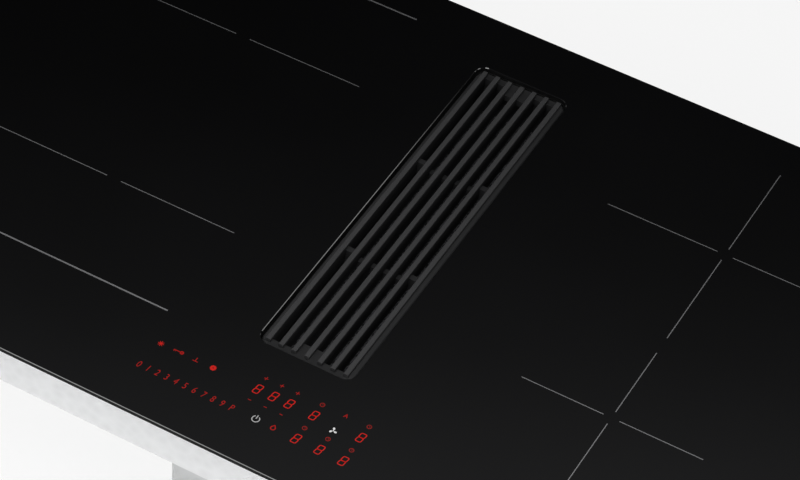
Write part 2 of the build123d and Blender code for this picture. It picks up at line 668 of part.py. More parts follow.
def slat_profile():
    """Section of a slat across the grille, with broken top edges and drafted sides, centred on X."""
    right = [
        (SLAT_FOOT_WIDTH / 2, SLAT_BOTTOM_Z),
        (SLAT_WIDTH / 2, RIM_TOP_Z),
        (SLAT_WIDTH / 2, OVERALL_HEIGHT - SLAT_EDGE),
        (SLAT_WIDTH / 2 - SLAT_EDGE, OVERALL_HEIGHT),
    ]
    left = [(-x, z) for x, z in reversed(right)]
    return make_face(Polyline(*right, *left, close=True))


def make_slat(x):
    """One slat: its full length above the rim, shorter below it so that it passes the collar's throat."""
    full_length = RIM_LENGTH - 2 * SLAT_END_INSET
    foot_length = RIM_LENGTH - 2 * SLAT_FOOT_INSET
    section = Plane.XZ * slat_profile()
    slat = Pos(x, OPENING_Y + full_length / 2, 0) * extrude(section, amount=full_length)
    end_length = (full_length - foot_length) / 2
    for side in (-1, 1):
        y = OPENING_Y + side * (foot_length + end_length) / 2
        slat -= block(2 * SLAT_WIDTH, end_length, RIM_BOTTOM_Z - SLAT_BOTTOM_Z, x, y, SLAT_BOTTOM_Z)
    return slat


def make_grille():
    rim = slab(RIM_WIDTH, RIM_LENGTH, GRILLE_RIM_RADIUS, RIM_BOTTOM_Z, GRILLE_RIM_THICKNESS, WELL)
    rim = chamfer(rim.faces().sort_by(Axis.Z)[-1].edges(), GRILLE_RIM_EDGE)
    slot_width = SLAT_PITCH - SLAT_WIDTH
    gap_count = SLAT_COUNT - 1
    middle_gaps = (gap_count // 2 - 1, gap_count // 2)
    outer_gaps = (0, gap_count - 1)
    for gap in range(gap_count):
        x = (gap - (gap_count - 1) / 2) * SLAT_PITCH
        inset = MIDDLE_SLOT_INSET if gap in middle_gaps else OUTER_SLOT_INSET
        length = RIM_LENGTH - 2 * inset
        rim -= block(slot_width, length, GRILLE_RIM_THICKNESS, x, OPENING_Y, RIM_BOTTOM_Z)
    grille = rim
    for slat in range(SLAT_COUNT):
        grille += make_slat((slat - (SLAT_COUNT - 1) / 2) * SLAT_PITCH)
    sunk_top = OVERALL_HEIGHT - CROSS_BAR_SUNK_DROP
    span = (SLAT_COUNT - 1) * SLAT_PITCH
    for side in (-1, 1):
        y = OPENING_Y + side * CROSS_BAR_Y
        grille += block(span, CROSS_BAR_WIDTH, sunk_top - SLAT_BOTTOM_Z, 0, y, SLAT_BOTTOM_Z)
        for gap in outer_gaps:
            x = (gap - (gap_count - 1) / 2) * SLAT_PITCH
            grille += block(SLAT_PITCH, CROSS_BAR_WIDTH, RIM_TOP_Z - SLAT_BOTTOM_Z, x, y, SLAT_BOTTOM_Z)
    return grille


def make_grille_pads():
    x = (RIM_WIDTH - GRILLE_PAD_WIDTH) / 2
    z = RIM_BOTTOM_Z - GRILLE_PAD_THICKNESS
    places = corner_places(2 * x, 2 * GRILLE_PAD_Y, WELL)
    return group(
        [block(GRILLE_PAD_WIDTH, GRILLE_PAD_LENGTH, GRILLE_PAD_THICKNESS, px, py, z) for px, py in places]
    )


def make_filter_frame():
    throat = (COLLAR_THROAT_WIDTH, COLLAR_THROAT_LENGTH, COLLAR_THROAT_RADIUS)
    frame = stepped_slab(WELL, throat, FILTER_FLANGE_Z, FILTER_FLANGE_THICKNESS, FILTER_SIDE_CLEARANCE)
    frame += block(FILTER_WIDTH, FILTER_LENGTH, FILTER_DEPTH, *WELL, FILTER_BOTTOM_Z)
    room_width = FILTER_WIDTH - 2 * FILTER_SHEET
    room_length = FILTER_LENGTH - 2 * FILTER_SHEET
    room_z = FILTER_BOTTOM_Z + FILTER_SHEET
    frame -= block(room_width, room_length, FILTER_DEPTH + FILTER_FLANGE_THICKNESS, *WELL, room_z)
    window_z = FILTER_BOTTOM_Z + FILTER_SHEET + (MESH_HEIGHT - FILTER_WINDOW_HEIGHT) / 2
    for index in range(FILTER_WINDOW_COUNT):
        y = OPENING_Y + (index - (FILTER_WINDOW_COUNT - 1) / 2) * FILTER_WINDOW_PITCH
        frame -= block(2 * FILTER_WIDTH, FILTER_WINDOW_LENGTH, FILTER_WINDOW_HEIGHT, 0, y, window_z)
        frame -= block(
            FILTER_WINDOW_WIDTH,
            FILTER_WINDOW_LENGTH,
            FILTER_SHEET,
            0,
            y,
            FILTER_BOTTOM_Z,
        )
    return frame


def make_filter_mesh():
    inset = FILTER_SHEET + MESH_CLEARANCE
    width = FILTER_WIDTH - 2 * inset
    length = FILTER_LENGTH - 2 * inset
    z = FILTER_BOTTOM_Z + FILTER_SHEET
    pack = block(width, length, MESH_HEIGHT, *WELL, z)
    hollow_width = width - 2 * MESH_THICKNESS
    hollow_length = length - 2 * MESH_THICKNESS
    return pack - block(hollow_width, hollow_length, MESH_HEIGHT, *WELL, z + MESH_THICKNESS)


def make_filter_handle():
    length = FILTER_WIDTH - 2 * FILTER_SHEET
    z = FILTER_FLANGE_Z - HANDLE_DROP
    return Pos(-length / 2, OPENING_Y, z) * Rot(0, 90, 0) * peg(HANDLE_DIAMETER / 2, length, 0, 0, 0)


def make_drip_tray():
    """A tray with upright walls and a pierced grip that stands across its middle."""
    shape = (TRAY_WIDTH, TRAY_LENGTH, TRAY_RADIUS)
    tray = stepped_slab(WELL, shape, TRAY_BOTTOM_Z, TRAY_HEIGHT)
    tray -= stepped_slab(WELL, shape, TRAY_BOTTOM_Z + TRAY_WALL, TRAY_HEIGHT, TRAY_WALL)
    grip_z = TRAY_BOTTOM_Z + TRAY_WALL / 2
    hole_z = grip_z + TRAY_GRIP_HEIGHT - TRAY_GRIP_HOLE_HEIGHT - TRAY_GRIP_THICKNESS
    tray += block(TRAY_GRIP_WIDTH, TRAY_GRIP_THICKNESS, TRAY_GRIP_HEIGHT, *WELL, grip_z)
    tray -= block(TRAY_GRIP_HOLE_WIDTH, TRAY_GRIP_THICKNESS, TRAY_GRIP_HOLE_HEIGHT, *WELL, hole_z)
    return tray


# ---------------------------------------------------------------------------------------------------------
# Induction coils
# ---------------------------------------------------------------------------------------------------------


def make_coil_winding(centre, shape):
    return stepped_band(centre, shape, WINDING_BAND, WINDING_Z, WINDING_THICKNESS)


def ferrite_places(centre, shape):
    """Spokes round a coil's centre, each with the angle that it points along."""
    width, depth, _ = shape
    spoke = min(width, depth) / 2 - CARRIER_RIM - FERRITE_LENGTH / 2
    step = 360 / FERRITE_COUNT
    return [
        Pos(centre[0], centre[1], CARRIER_Z) * Rot(0, 0, index * step) * Pos(spoke, 0, 0)
        for index in range(FERRITE_COUNT)
    ]


def make_coil_carrier(centre, shape):
    """A dish under the winding, open at the middle, with a pocket below for each ferrite bar."""
    carrier = stepped_band(centre, shape, WINDING_BAND, CARRIER_Z, CARRIER_THICKNESS)
    pocket = Box(
        FERRITE_LENGTH + 2 * FERRITE_CLEARANCE,
        FERRITE_WIDTH + 2 * FERRITE_CLEARANCE,
        2 * FERRITE_THICKNESS,
    )
    for place in ferrite_places(centre, shape):
        carrier -= place * pocket
    return carrier


def make_ferrite_bars():
    bar = Pos(0, 0, FERRITE_THICKNESS / 2) * Box(FERRITE_LENGTH, FERRITE_WIDTH, FERRITE_THICKNESS)
    return group([place * bar for centre, shape in COILS.values() for place in ferrite_places(centre, shape)])


def make_coil_insulation_sheets():
    return group(
        [
            stepped_slab(centre, shape, INSULATION_Z, INSULATION_THICKNESS)
            for centre, shape in COILS.values()
        ]
    )


def make_coil_springs():
    """Arched leaf springs between each carrier and its plate, two under each coil."""
    half = COIL_SPRING_LENGTH / 2
    crown = COIL_SPRING_HEIGHT - COIL_SPRING_SHEET
    foot = COIL_SPRING_LENGTH / 4
    under = [(-half, 0), (-foot, crown), (foot, crown), (half, 0)]
    over = [(x, z + COIL_SPRING_SHEET) for x, z in reversed(under)]
    section = make_face(Polyline(*under, *over, close=True))
    spring = extrude(Plane.XZ * section, amount=COIL_SPRING_WIDTH / 2, both=True)
    return group(
        [
            Pos(centre[0] + side * COIL_SPRING_X, centre[1], COIL_PLATE_TOP_Z) * spring
            for centre, _ in COILS.values()
            for side in (-1, 1)
        ]
    )


def make_coil_plate(x):
    """A folded bridge across the pan: top sheet, a leg at each end and a foot under each leg."""
    length = PAN_DEPTH - 2 * (PAN_SHEET + FRAME_SHEET + COIL_PLATE_END_GAP)
    height = COIL_PLATE_TOP_Z - PAN_FLOOR_Z
    plate = block(COIL_PLATE_WIDTH, length, COIL_PLATE_SHEET, x, 0, COIL_PLATE_Z)
    for side in (-1, 1):
        leg_y = side * (length - COIL_PLATE_SHEET) / 2
        plate += block(COIL_PLATE_LEG_WIDTH, COIL_PLATE_SHEET, height, x, leg_y, PAN_FLOOR_Z)
        foot_y = side * (length - COIL_PLATE_FOOT) / 2
        plate += block(COIL_PLATE_LEG_WIDTH, COIL_PLATE_FOOT, COIL_PLATE_SHEET, x, foot_y, PAN_FLOOR_Z)
    return plate


# ---------------------------------------------------------------------------------------------------------
# Power electronics
# ---------------------------------------------------------------------------------------------------------


def make_board_tray(x):
    tray = block(BOARD_WIDTH, BOARD_DEPTH, BOARD_TRAY_SHEET, x, BOARD_Y, PAN_FLOOR_Z)
    inset = 2 * BOARD_POST_SIZE
    places = corner_places(BOARD_WIDTH - inset, BOARD_DEPTH - inset, (x, BOARD_Y))
    for post_x, post_y in places:
        post_z = PAN_FLOOR_Z + BOARD_TRAY_SHEET
        tray += block(BOARD_POST_SIZE, BOARD_POST_SIZE, BOARD_POST_HEIGHT, post_x, post_y, post_z)
    return tray


def make_power_board(x):
    """The board with what is soldered to it: two capacitors, a choke and relays."""
    board = block(BOARD_WIDTH, BOARD_DEPTH, BOARD_THICKNESS, x, BOARD_Y, BOARD_Z)
    column_x = x + BOARD_WIDTH / 4
    for side in (-1, 1):
        y = BOARD_Y + side * CAPACITOR_DIAMETER
        board += peg(CAPACITOR_DIAMETER / 2, CAPACITOR_HEIGHT, column_x, y, BOARD_TOP_Z)
    choke_y = BOARD_Y + BOARD_DEPTH / 2 - CHOKE_SIZE
    board += block(CHOKE_SIZE, CHOKE_SIZE, CHOKE_HEIGHT, column_x, choke_y, BOARD_TOP_Z)
    for index in range(RELAY_COUNT):
        relay_y = BOARD_Y - BOARD_DEPTH / 2 + RELAY_WIDTH + RELAY_PITCH * index
        board += block(RELAY_LENGTH, RELAY_WIDTH, RELAY_HEIGHT, column_x, relay_y, BOARD_TOP_Z)
    return board


def make_heat_sink(x):
    centre_x = x + HEAT_SINK_X
    sink = block(HEAT_SINK_WIDTH, HEAT_SINK_LENGTH, HEAT_SINK_BASE, centre_x, BOARD_Y, BOARD_TOP_Z)
    pitch = (HEAT_SINK_WIDTH - HEAT_SINK_FIN_THICKNESS) / (HEAT_SINK_FINS - 1)
    for fin in range(HEAT_SINK_FINS):
        fin_x = centre_x - (HEAT_SINK_WIDTH - HEAT_SINK_FIN_THICKNESS) / 2 + fin * pitch
        sink += block(HEAT_SINK_FIN_THICKNESS, HEAT_SINK_LENGTH, HEAT_SINK_HEIGHT, fin_x, BOARD_Y, BOARD_TOP_Z)
    return sink


def make_fan_housing(x):
    housing = block(FAN_SIZE, FAN_SIZE, FAN_HEIGHT, x, FAN_Y, PAN_FLOOR_Z)
    housing -= peg(FAN_BORE_DIAMETER / 2, FAN_HEIGHT, x, FAN_Y, PAN_FLOOR_Z, FAN_BORE_SIDES)
    spider_z = PAN_FLOOR_Z + FAN_HEIGHT - FAN_SPIDER_THICKNESS
    spider = peg(FAN_HUB_DIAMETER / 2, FAN_SPIDER_THICKNESS, x, FAN_Y, spider_z)
    for angle in (45, 135):
        arm = Box(FAN_SIZE, FAN_SPIDER_ARM, FAN_SPIDER_THICKNESS)
        spider += Pos(x, FAN_Y, spider_z + FAN_SPIDER_THICKNESS / 2) * Rot(0, 0, angle) * arm
    bore_radius = FAN_AXLE_DIAMETER / 2 + FAN_AXLE_CLEARANCE
    return housing + spider - rod(bore_radius, FAN_SPIDER_THICKNESS, x, FAN_Y, spider_z)


def make_fan_rotor(x):
    """Hub with tilted blades and an axle that runs in the housing's spider."""
    spider_z = PAN_FLOOR_Z + FAN_HEIGHT - FAN_SPIDER_THICKNESS
    hub_bottom = PAN_FLOOR_Z + 2 * FAN_TIP_CLEARANCE
    hub_height = spider_z - FAN_TIP_CLEARANCE - hub_bottom
    rotor = peg(FAN_HUB_DIAMETER / 2, hub_height, x, FAN_Y, hub_bottom)
    rotor += rod(FAN_AXLE_DIAMETER / 2, spider_z + FAN_SPIDER_THICKNESS - hub_bottom, x, FAN_Y, hub_bottom)
    tip = FAN_BORE_DIAMETER / 2 - FAN_TIP_CLEARANCE - FAN_BLADE_TIP_SETBACK
    root = FAN_HUB_DIAMETER / 2 - FAN_BLADE_ROOT
    blade_centre = (tip + root) / 2
    blade = Rot(FAN_BLADE_TILT_DEGREES, 0, 0) * Box(tip - root, FAN_BLADE_THICKNESS, FAN_BLADE_WIDTH)
    for index in range(FAN_BLADE_COUNT):
        turn = Rot(0, 0, index * 360 / FAN_BLADE_COUNT)
        rotor += Pos(x, FAN_Y, hub_bottom + hub_height / 2) * turn * Pos(blade_centre, 0, 0) * blade
    return rotor


# ---------------------------------------------------------------------------------------------------------
# Touch controls
# ---------------------------------------------------------------------------------------------------------


def make_touch_carrier():
    """An open frame under the glass, with a ledge that the board lies on."""
    z = GLASS_BOTTOM_Z - TOUCH_CARRIER_HEIGHT
    centre = (TOUCH_X, TOUCH_Y)
    ledge_height = TOUCH_CARRIER_HEIGHT - DISPLAY_HEIGHT - TOUCH_BOARD_THICKNESS
    frame = frame_bar(TOUCH_WIDTH, TOUCH_DEPTH, TOUCH_CARRIER_WALL, z, TOUCH_CARRIER_HEIGHT, centre)
    return frame + frame_bar(TOUCH_WIDTH, TOUCH_DEPTH, 2 * TOUCH_CARRIER_WALL, z, ledge_height, centre)


def make_touch_board():
    inset = 2 * (TOUCH_CARRIER_WALL + HOLE_CLEARANCE / 2)
    z = GLASS_BOTTOM_Z - DISPLAY_HEIGHT - TOUCH_BOARD_THICKNESS
    return block(TOUCH_WIDTH - inset, TOUCH_DEPTH - inset, TOUCH_BOARD_THICKNESS, TOUCH_X, TOUCH_Y, z)


def make_display_modules():
    """One display for the timer and two rows for the zones, on the board."""
    z = GLASS_BOTTOM_Z - DISPLAY_HEIGHT
    rear_y = TOUCH_Y + DISPLAY_REAR_SHIFT
    front_y = TOUCH_Y + DISPLAY_FRONT_SHIFT
    timer_x = TOUCH_X + DISPLAY_TIMER_SHIFT
    zone_x = TOUCH_X + DISPLAY_ZONE_SHIFT
    return group(
        [
            block(DISPLAY_WIDTH, DISPLAY_DEPTH, DISPLAY_HEIGHT, timer_x, rear_y, z),
            block(DISPLAY_LONG_WIDTH, DISPLAY_DEPTH, DISPLAY_HEIGHT, zone_x, rear_y, z),
            block(DISPLAY_LONG_WIDTH, DISPLAY_DEPTH, DISPLAY_HEIGHT, zone_x, front_y, z),
        ]
    )


# ---------------------------------------------------------------------------------------------------------
# Air box
# ---------------------------------------------------------------------------------------------------------


def cover_screw_places():
    """One screw in each corner of the box."""
    spacing_x = BOX_WIDTH - 2 * COVER_SCREW_INSET
    spacing_y = BOX_DEPTH - 2 * COVER_SCREW_INSET
    return corner_places(spacing_x, spacing_y, BOX)


def duct_cut(y, length, clearance=0.0):
    """The space that the flat duct takes, round a point y along it."""
    width = DUCT_WIDTH + 2 * clearance
    height = DUCT_HEIGHT + 2 * clearance
    return Pos(DUCT_X, y, DUCT_CENTRE_Z) * Box(width, length, height)


def box_ribs():
    """Outside ribs on the front wall and on the two side walls of the air box."""
    rib_height = BOX_TOP_Z - COVER_THICKNESS - 2 * BOX_RIB_WIDTH
    rib_z = COVER_THICKNESS + BOX_RIB_WIDTH
    ribs = []
    front_count = int((BOX_WIDTH - 2 * BOX_RADIUS) // BOX_RIB_PITCH)
    for index in range(front_count):
        x = BOX_X + (index - (front_count - 1) / 2) * BOX_RIB_PITCH
        y = BOX_FRONT_Y - BOX_RIB_DEPTH / 2 + BOX_WALL / 4
        ribs.append(block(BOX_RIB_WIDTH, BOX_RIB_DEPTH + BOX_WALL / 2, rib_height, x, y, rib_z))
    side_count = int((BOX_DEPTH - 2 * BOX_RADIUS) // BOX_RIB_PITCH)
    for side, wall_x in ((-1, BOX_LEFT_X), (1, BOX_RIGHT_X)):
        for index in range(side_count):
            y = BOX_Y + (index - (side_count - 1) / 2) * BOX_RIB_PITCH
            x = wall_x + side * (BOX_RIB_DEPTH / 2 - BOX_WALL / 4)
            ribs.append(block(BOX_RIB_DEPTH + BOX_WALL / 2, BOX_RIB_WIDTH, rib_height, x, y, rib_z))
    return ribs


def make_air_box():
    height = BOX_TOP_Z - COVER_THICKNESS
    box = stepped_band(BOX, BOX_SHAPE, BOX_WALL, COVER_THICKNESS, height)
    box += stepped_band(BOX, BOX_SHAPE, BOX_FLANGE, BOX_TOP_Z - BOX_WALL, BOX_WALL)
    room = stepped_slab(BOX, BOX_SHAPE, COVER_THICKNESS, height)
    for x, y in cover_screw_places():
        box += block(COVER_BOSS_SIZE, COVER_BOSS_SIZE, COVER_BOSS_HEIGHT, x, y, COVER_THICKNESS) & room
        box -= peg(SCREW_SHANK_DIAMETER / 2, SCREW_SHANK_LENGTH, x, y, COVER_THICKNESS, SCREW_SIDES)
    for rib in box_ribs():
        box += rib
    box -= duct_cut(BOX_REAR_Y, 2 * SCROLL_END_GAP + BOX_WALL, SPIGOT_CLEARANCE)
    for x, z in spigot_screw_places():
        size = 2 * (SPIGOT_SCREW_HOLE_RADIUS + HOLE_CLEARANCE)
        box -= Pos(x, BOX_REAR_Y, z) * Box(size, 4 * BOX_WALL, size)
    return box


def make_box_gasket():
    inset = (BOX_FLANGE - GASKET_WIDTH) / 2
    width = BOX_WIDTH - 2 * inset
    depth = BOX_DEPTH - 2 * inset
    return frame_bar(width, depth, GASKET_WIDTH, BOX_TOP_Z, GASKET_THICKNESS, BOX)


def make_bottom_cover():
    cover = stepped_slab(BOX, BOX_SHAPE, 0, COVER_THICKNESS)
    pocket_radius = SCREW_HEAD_DIAMETER / 2 + SCREW_HOLE_CLEARANCE
    hole_radius = SCREW_SHANK_DIAMETER / 2 + SCREW_HOLE_CLEARANCE
    for x, y in cover_screw_places():
        cover -= peg(pocket_radius, SCREW_HEAD_HEIGHT, x, y, 0)
        cover -= peg(hole_radius, COVER_THICKNESS, x, y, 0, SCREW_SIDES)
    guide_x = TRAY_WIDTH / 2 + TRAY_SIDE_CLEARANCE + TRAY_GUIDE_THICKNESS / 2
    for side in (-1, 1):
        cover += block(
            TRAY_GUIDE_THICKNESS,
            TRAY_GUIDE_LENGTH,
            TRAY_GUIDE_HEIGHT,
            side * guide_x,
            OPENING_Y,
            COVER_THICKNESS,
        )
    return cover


def screw(shank_length):
    """A screw that points up from the bottom of its head."""
    head = peg(SCREW_HEAD_DIAMETER / 2, SCREW_HEAD_HEIGHT, 0, 0, 0)
    return head + peg(SCREW_SHANK_DIAMETER / 2, shank_length, 0, 0, SCREW_HEAD_HEIGHT, SCREW_SIDES)


def make_bottom_cover_screws():
    """Screws whose heads lie flush in the cover's pockets."""
    cover_screw = screw(COVER_THICKNESS - SCREW_HEAD_HEIGHT + SCREW_SHANK_LENGTH)
    return group([Pos(x, y, 0) * cover_screw for x, y in cover_screw_places()])


# ---------------------------------------------------------------------------------------------------------
# Blower
# ---------------------------------------------------------------------------------------------------------


def scroll_point(degrees, margin):
    """A point of the spiral wall, whose radius grows evenly from the tongue to the outlet."""
    share = (degrees - SCROLL_TONGUE_DEGREES) / (360 - SCROLL_TONGUE_DEGREES)
    radius = SCROLL_TONGUE_RADIUS + (SCROLL_END_RADIUS - SCROLL_TONGUE_RADIUS) * share + margin
    angle = radians(degrees)
    return (BLOWER_X + radius * cos(angle), BLOWER_Y + radius * sin(angle))


def scroll_outline(margin):
    """Outline of the air passage, grown by a margin: the spiral, then a straight run to the outlet."""
    step = (360 - SCROLL_TONGUE_DEGREES) / SCROLL_STEPS
    spiral = [scroll_point(SCROLL_TONGUE_DEGREES + step * index, margin) for index in range(SCROLL_STEPS + 1)]
    right_x = DUCT_X + DUCT_WIDTH / 2 - DUCT_WALL + margin
    left_x = DUCT_X - DUCT_WIDTH / 2 + DUCT_WALL - margin
    return make_face(Polyline(*spiral, (right_x, SCROLL_END_Y), (left_x, SCROLL_END_Y), close=True))


def scroll_prism(margin, bottom, top):
    return Pos(0, 0, bottom) * extrude(scroll_outline(margin), amount=top - bottom)


def make_scroll_base():
    base = scroll_prism(DUCT_WALL, DUCT_BOTTOM_Z, DUCT_CENTRE_Z)
    base -= scroll_prism(0, SCROLL_FLOOR_Z, DUCT_CENTRE_Z)
    for x, y in motor_screw_places():
        base -= peg(SCREW_SHANK_DIAMETER / 2, DUCT_WALL, x, y, DUCT_BOTTOM_Z, SCREW_SIDES)
    foot_height = DUCT_BOTTOM_Z - COVER_THICKNESS
    for x, y in corner_places(2 * BLOWER_FOOT_X, 2 * BLOWER_FOOT_Y, (BLOWER_X, BLOWER_Y)):
        base += block(BLOWER_FOOT_SIZE, BLOWER_FOOT_SIZE, foot_height, x, y, COVER_THICKNESS)
    return base


def make_scroll_cover():
    cover = scroll_prism(DUCT_WALL, DUCT_CENTRE_Z, DUCT_TOP_Z)
    cover -= scroll_prism(0, DUCT_CENTRE_Z, SCROLL_ROOF_Z)
    return cover - peg(INLET_HOLE_RADIUS, DUCT_WALL, BLOWER_X, BLOWER_Y, SCROLL_ROOF_Z, RING_SIDES)


def make_inlet_ring():
    """Bell mouth pressed from sheet: a flange on the housing that narrows down into the wheel's eye."""
    throat_z = DUCT_TOP_Z - INLET_DEPTH
    lip_outer = INLET_LIP_RADIUS + INLET_SHEET
    mouth_outer = INLET_MOUTH_RADIUS + INLET_SHEET
    flange = peg(INLET_FLANGE_RADIUS, INLET_SHEET, BLOWER_X, BLOWER_Y, DUCT_TOP_Z, RING_SIDES)
    ring = flange + funnel(lip_outer, mouth_outer, throat_z, DUCT_TOP_Z, RING_SIDES)
    top = DUCT_TOP_Z + INLET_SHEET
    return ring - funnel(INLET_LIP_RADIUS, INLET_MOUTH_RADIUS, throat_z, top, RING_SIDES)


def make_impeller_disc():
    """Back plate of the wheel, domed over the motor, with a hub for the shaft."""
    place = (BLOWER_X, BLOWER_Y)
    dome_inner = WHEEL_DOME_RADIUS - WHEEL_PLATE
    disc = peg(WHEEL_RADIUS, WHEEL_PLATE, *place, WHEEL_Z, RING_SIDES)
    disc += peg(WHEEL_DOME_RADIUS, DOME_TOP_Z - WHEEL_Z, *place, WHEEL_Z, RING_SIDES)
    disc -= peg(dome_inner, DOME_INNER_Z - WHEEL_Z, *place, WHEEL_Z, RING_SIDES)
    disc += peg(WHEEL_HUB_RADIUS, WHEEL_HUB_HEIGHT, *place, DOME_TOP_Z)
    return disc - rod(SHAFT_RADIUS, HUB_TOP_Z - DOME_INNER_Z, *place, DOME_INNER_Z)


def blade_section():
    """A forward-curved blade, seen along the shaft, from the eye to the rim of the wheel."""
    sweep = radians(BLADE_SWEEP_DEGREES)
    tip_radius = WHEEL_RADIUS - WHEEL_RING_WIDTH / 4
    inner = (WHEEL_EYE_RADIUS, 0.0)
    tip = (tip_radius * cos(sweep), tip_radius * sin(sweep))
    middle = ((inner[0] + tip[0]) / 2 + BLADE_BULGE, (inner[1] + tip[1]) / 2 - BLADE_BULGE / 2)
    front = [inner, middle, tip]
    back = [(x, y + BLADE_THICKNESS) for x, y in reversed(front)]
    return make_face(Polyline(*front, *back, close=True))


def make_impeller_blades():
    """Blades that stand on the back plate in a circle."""
    bottom = WHEEL_Z + WHEEL_PLATE
    blade = Pos(0, 0, bottom) * extrude(blade_section(), amount=RING_Z - bottom)
    step = 360 / BLADE_COUNT
    return group([Pos(BLOWER_X, BLOWER_Y, 0) * Rot(0, 0, index * step) * blade for index in range(BLADE_COUNT)])


def make_impeller_ring():
    """Ring that ties the blades together at the inlet side."""
    ring = peg(WHEEL_RADIUS, WHEEL_RING_HEIGHT, BLOWER_X, BLOWER_Y, RING_Z, RING_SIDES)
    hole = peg(WHEEL_RADIUS - WHEEL_RING_WIDTH, WHEEL_RING_HEIGHT, BLOWER_X, BLOWER_Y, RING_Z, RING_SIDES)
    return ring - hole


def make_impeller_shaft():
    bottom = MOTOR_Z + MOTOR_FLANGE_THICKNESS
    return rod(SHAFT_RADIUS, HUB_TOP_Z - bottom, BLOWER_X, BLOWER_Y, bottom)


def motor_screw_places():
    step = 360 / MOTOR_SCREW_COUNT
    return [
        (
            BLOWER_X + MOTOR_SCREW_CIRCLE * cos(radians(index * step)),
            BLOWER_Y + MOTOR_SCREW_CIRCLE * sin(radians(index * step)),
        )
        for index in range(MOTOR_SCREW_COUNT)
    ]


def make_blower_motor():
    """A flat motor: screw flange, can and bearing boss, open down its middle for the shaft."""
    place = (BLOWER_X, BLOWER_Y)
    can_z = MOTOR_Z + MOTOR_FLANGE_THICKNESS
    motor = peg(MOTOR_FLANGE_RADIUS, MOTOR_FLANGE_THICKNESS, *place, MOTOR_Z, RING_SIDES)
    motor += peg(MOTOR_CAN_RADIUS, MOTOR_CAN_HEIGHT, *place, can_z, RING_SIDES)
    motor += peg(MOTOR_BOSS_RADIUS, MOTOR_BOSS_HEIGHT, *place, can_z + MOTOR_CAN_HEIGHT)
    motor -= rod(SHAFT_RADIUS + SHAFT_CLEARANCE, MOTOR_TOP_Z - can_z, *place, can_z)
    for x, y in motor_screw_places():
        motor -= peg(SCREW_SHANK_DIAMETER / 2, SCREW_SHANK_LENGTH, x, y, MOTOR_Z, SCREW_SIDES)
    return motor


def make_motor_screws():
    """Screws up through the scroll's floor into the motor's flange."""
    motor_screw = screw(DUCT_WALL + SCREW_SHANK_LENGTH)
    head_z = DUCT_BOTTOM_Z - SCREW_HEAD_HEIGHT
    return group([Pos(x, y, head_z) * motor_screw for x, y in motor_screw_places()])


# ---------------------------------------------------------------------------------------------------------
# Duct outlet
# ---------------------------------------------------------------------------------------------------------


def spigot_screw_places():
    """Screw holes round the flange, as places across the back: (x, z)."""
    return corner_places(SPIGOT_SCREW_SPACING_X, SPIGOT_SCREW_SPACING_Z, (DUCT_X, DUCT_CENTRE_Z))


def make_outlet_spigot():
    start = SCROLL_END_Y
    end = BOX_REAR_Y + SPIGOT_LENGTH
    length = end - start
    spigot = duct_cut((start + end) / 2, length)
    flange = Rectangle(DUCT_WIDTH + 2 * SPIGOT_FLANGE_MARGIN, DUCT_HEIGHT + 2 * SPIGOT_FLANGE_MARGIN)
    for x, z in corner_places(SPIGOT_SCREW_SPACING_X, SPIGOT_SCREW_SPACING_Z):
        flange -= Pos(x, z) * Circle(SPIGOT_SCREW_HOLE_RADIUS)
    plate = Rot(90, 0, 0) * extrude(flange, amount=-SPIGOT_FLANGE_THICKNESS)
    spigot += Pos(DUCT_X, BOX_REAR_Y, DUCT_CENTRE_Z) * plate
    passage = Box(DUCT_WIDTH - 2 * DUCT_WALL, length, DUCT_HEIGHT - 2 * DUCT_WALL)
    return spigot - Pos(DUCT_X, (start + end) / 2, DUCT_CENTRE_Z) * passage


# ---------------------------------------------------------------------------------------------------------
# Mains terminal
# ---------------------------------------------------------------------------------------------------------


def across(radius, length, y, z):
    """A cylinder along X, centred below the terminal box."""
    return Pos(TERMINAL_X, y, z) * Rot(0, 90, 0) * Cylinder(radius, length)


def make_terminal_box():
    """A box open below, with a hole in its roof for the wires and one at the back for the gland."""
    box = block(TERMINAL_WIDTH, TERMINAL_DEPTH, TERMINAL_HEIGHT, TERMINAL_X, TERMINAL_Y, TERMINAL_Z)
    room_width = TERMINAL_WIDTH - 2 * TERMINAL_WALL
    room_depth = TERMINAL_DEPTH - 2 * TERMINAL_WALL
    room_height = TERMINAL_HEIGHT - TERMINAL_WALL
    box -= block(room_width, room_depth, room_height, TERMINAL_X, TERMINAL_Y, TERMINAL_Z)
    box -= peg(CABLE_HOLE_RADIUS, TERMINAL_HEIGHT, TERMINAL_X, TERMINAL_Y, TERMINAL_Z)
    return box - gland_place() * gland_body(-2 * TERMINAL_WALL, 3 * TERMINAL_WALL)


def make_terminal_lid():
    """Flat lid below the box, hung on a barrel that turns on the hinge bracket's pin."""
    lid = block(TERMINAL_WIDTH, TERMINAL_DEPTH, LID_THICKNESS, TERMINAL_X, TERMINAL_Y, LID_Z)
    barrel = across(LID_KNUCKLE_RADIUS, LID_KNUCKLE_LENGTH, LID_HINGE_Y, LID_HINGE_Z)
    front_y = LID_HINGE_Y - LID_KNUCKLE_RADIUS
    back_y = TERMINAL_Y - TERMINAL_DEPTH / 2 + TERMINAL_WALL
    tongue_y = (back_y + front_y) / 2
    tongue = block(LID_KNUCKLE_LENGTH, back_y - front_y, LID_THICKNESS, TERMINAL_X, tongue_y, LID_Z)
    leaf_height = LID_HINGE_Z - LID_Z
    leaf_y = front_y + LID_KNUCKLE_RADIUS / 2
    leaf = block(LID_KNUCKLE_LENGTH, LID_KNUCKLE_RADIUS, leaf_height, TERMINAL_X, leaf_y, LID_Z)
    bore = across(LID_PIN_RADIUS + LID_PIN_CLEARANCE, LID_KNUCKLE_LENGTH, LID_HINGE_Y, LID_HINGE_Z)
    return lid + barrel + tongue + leaf - bore


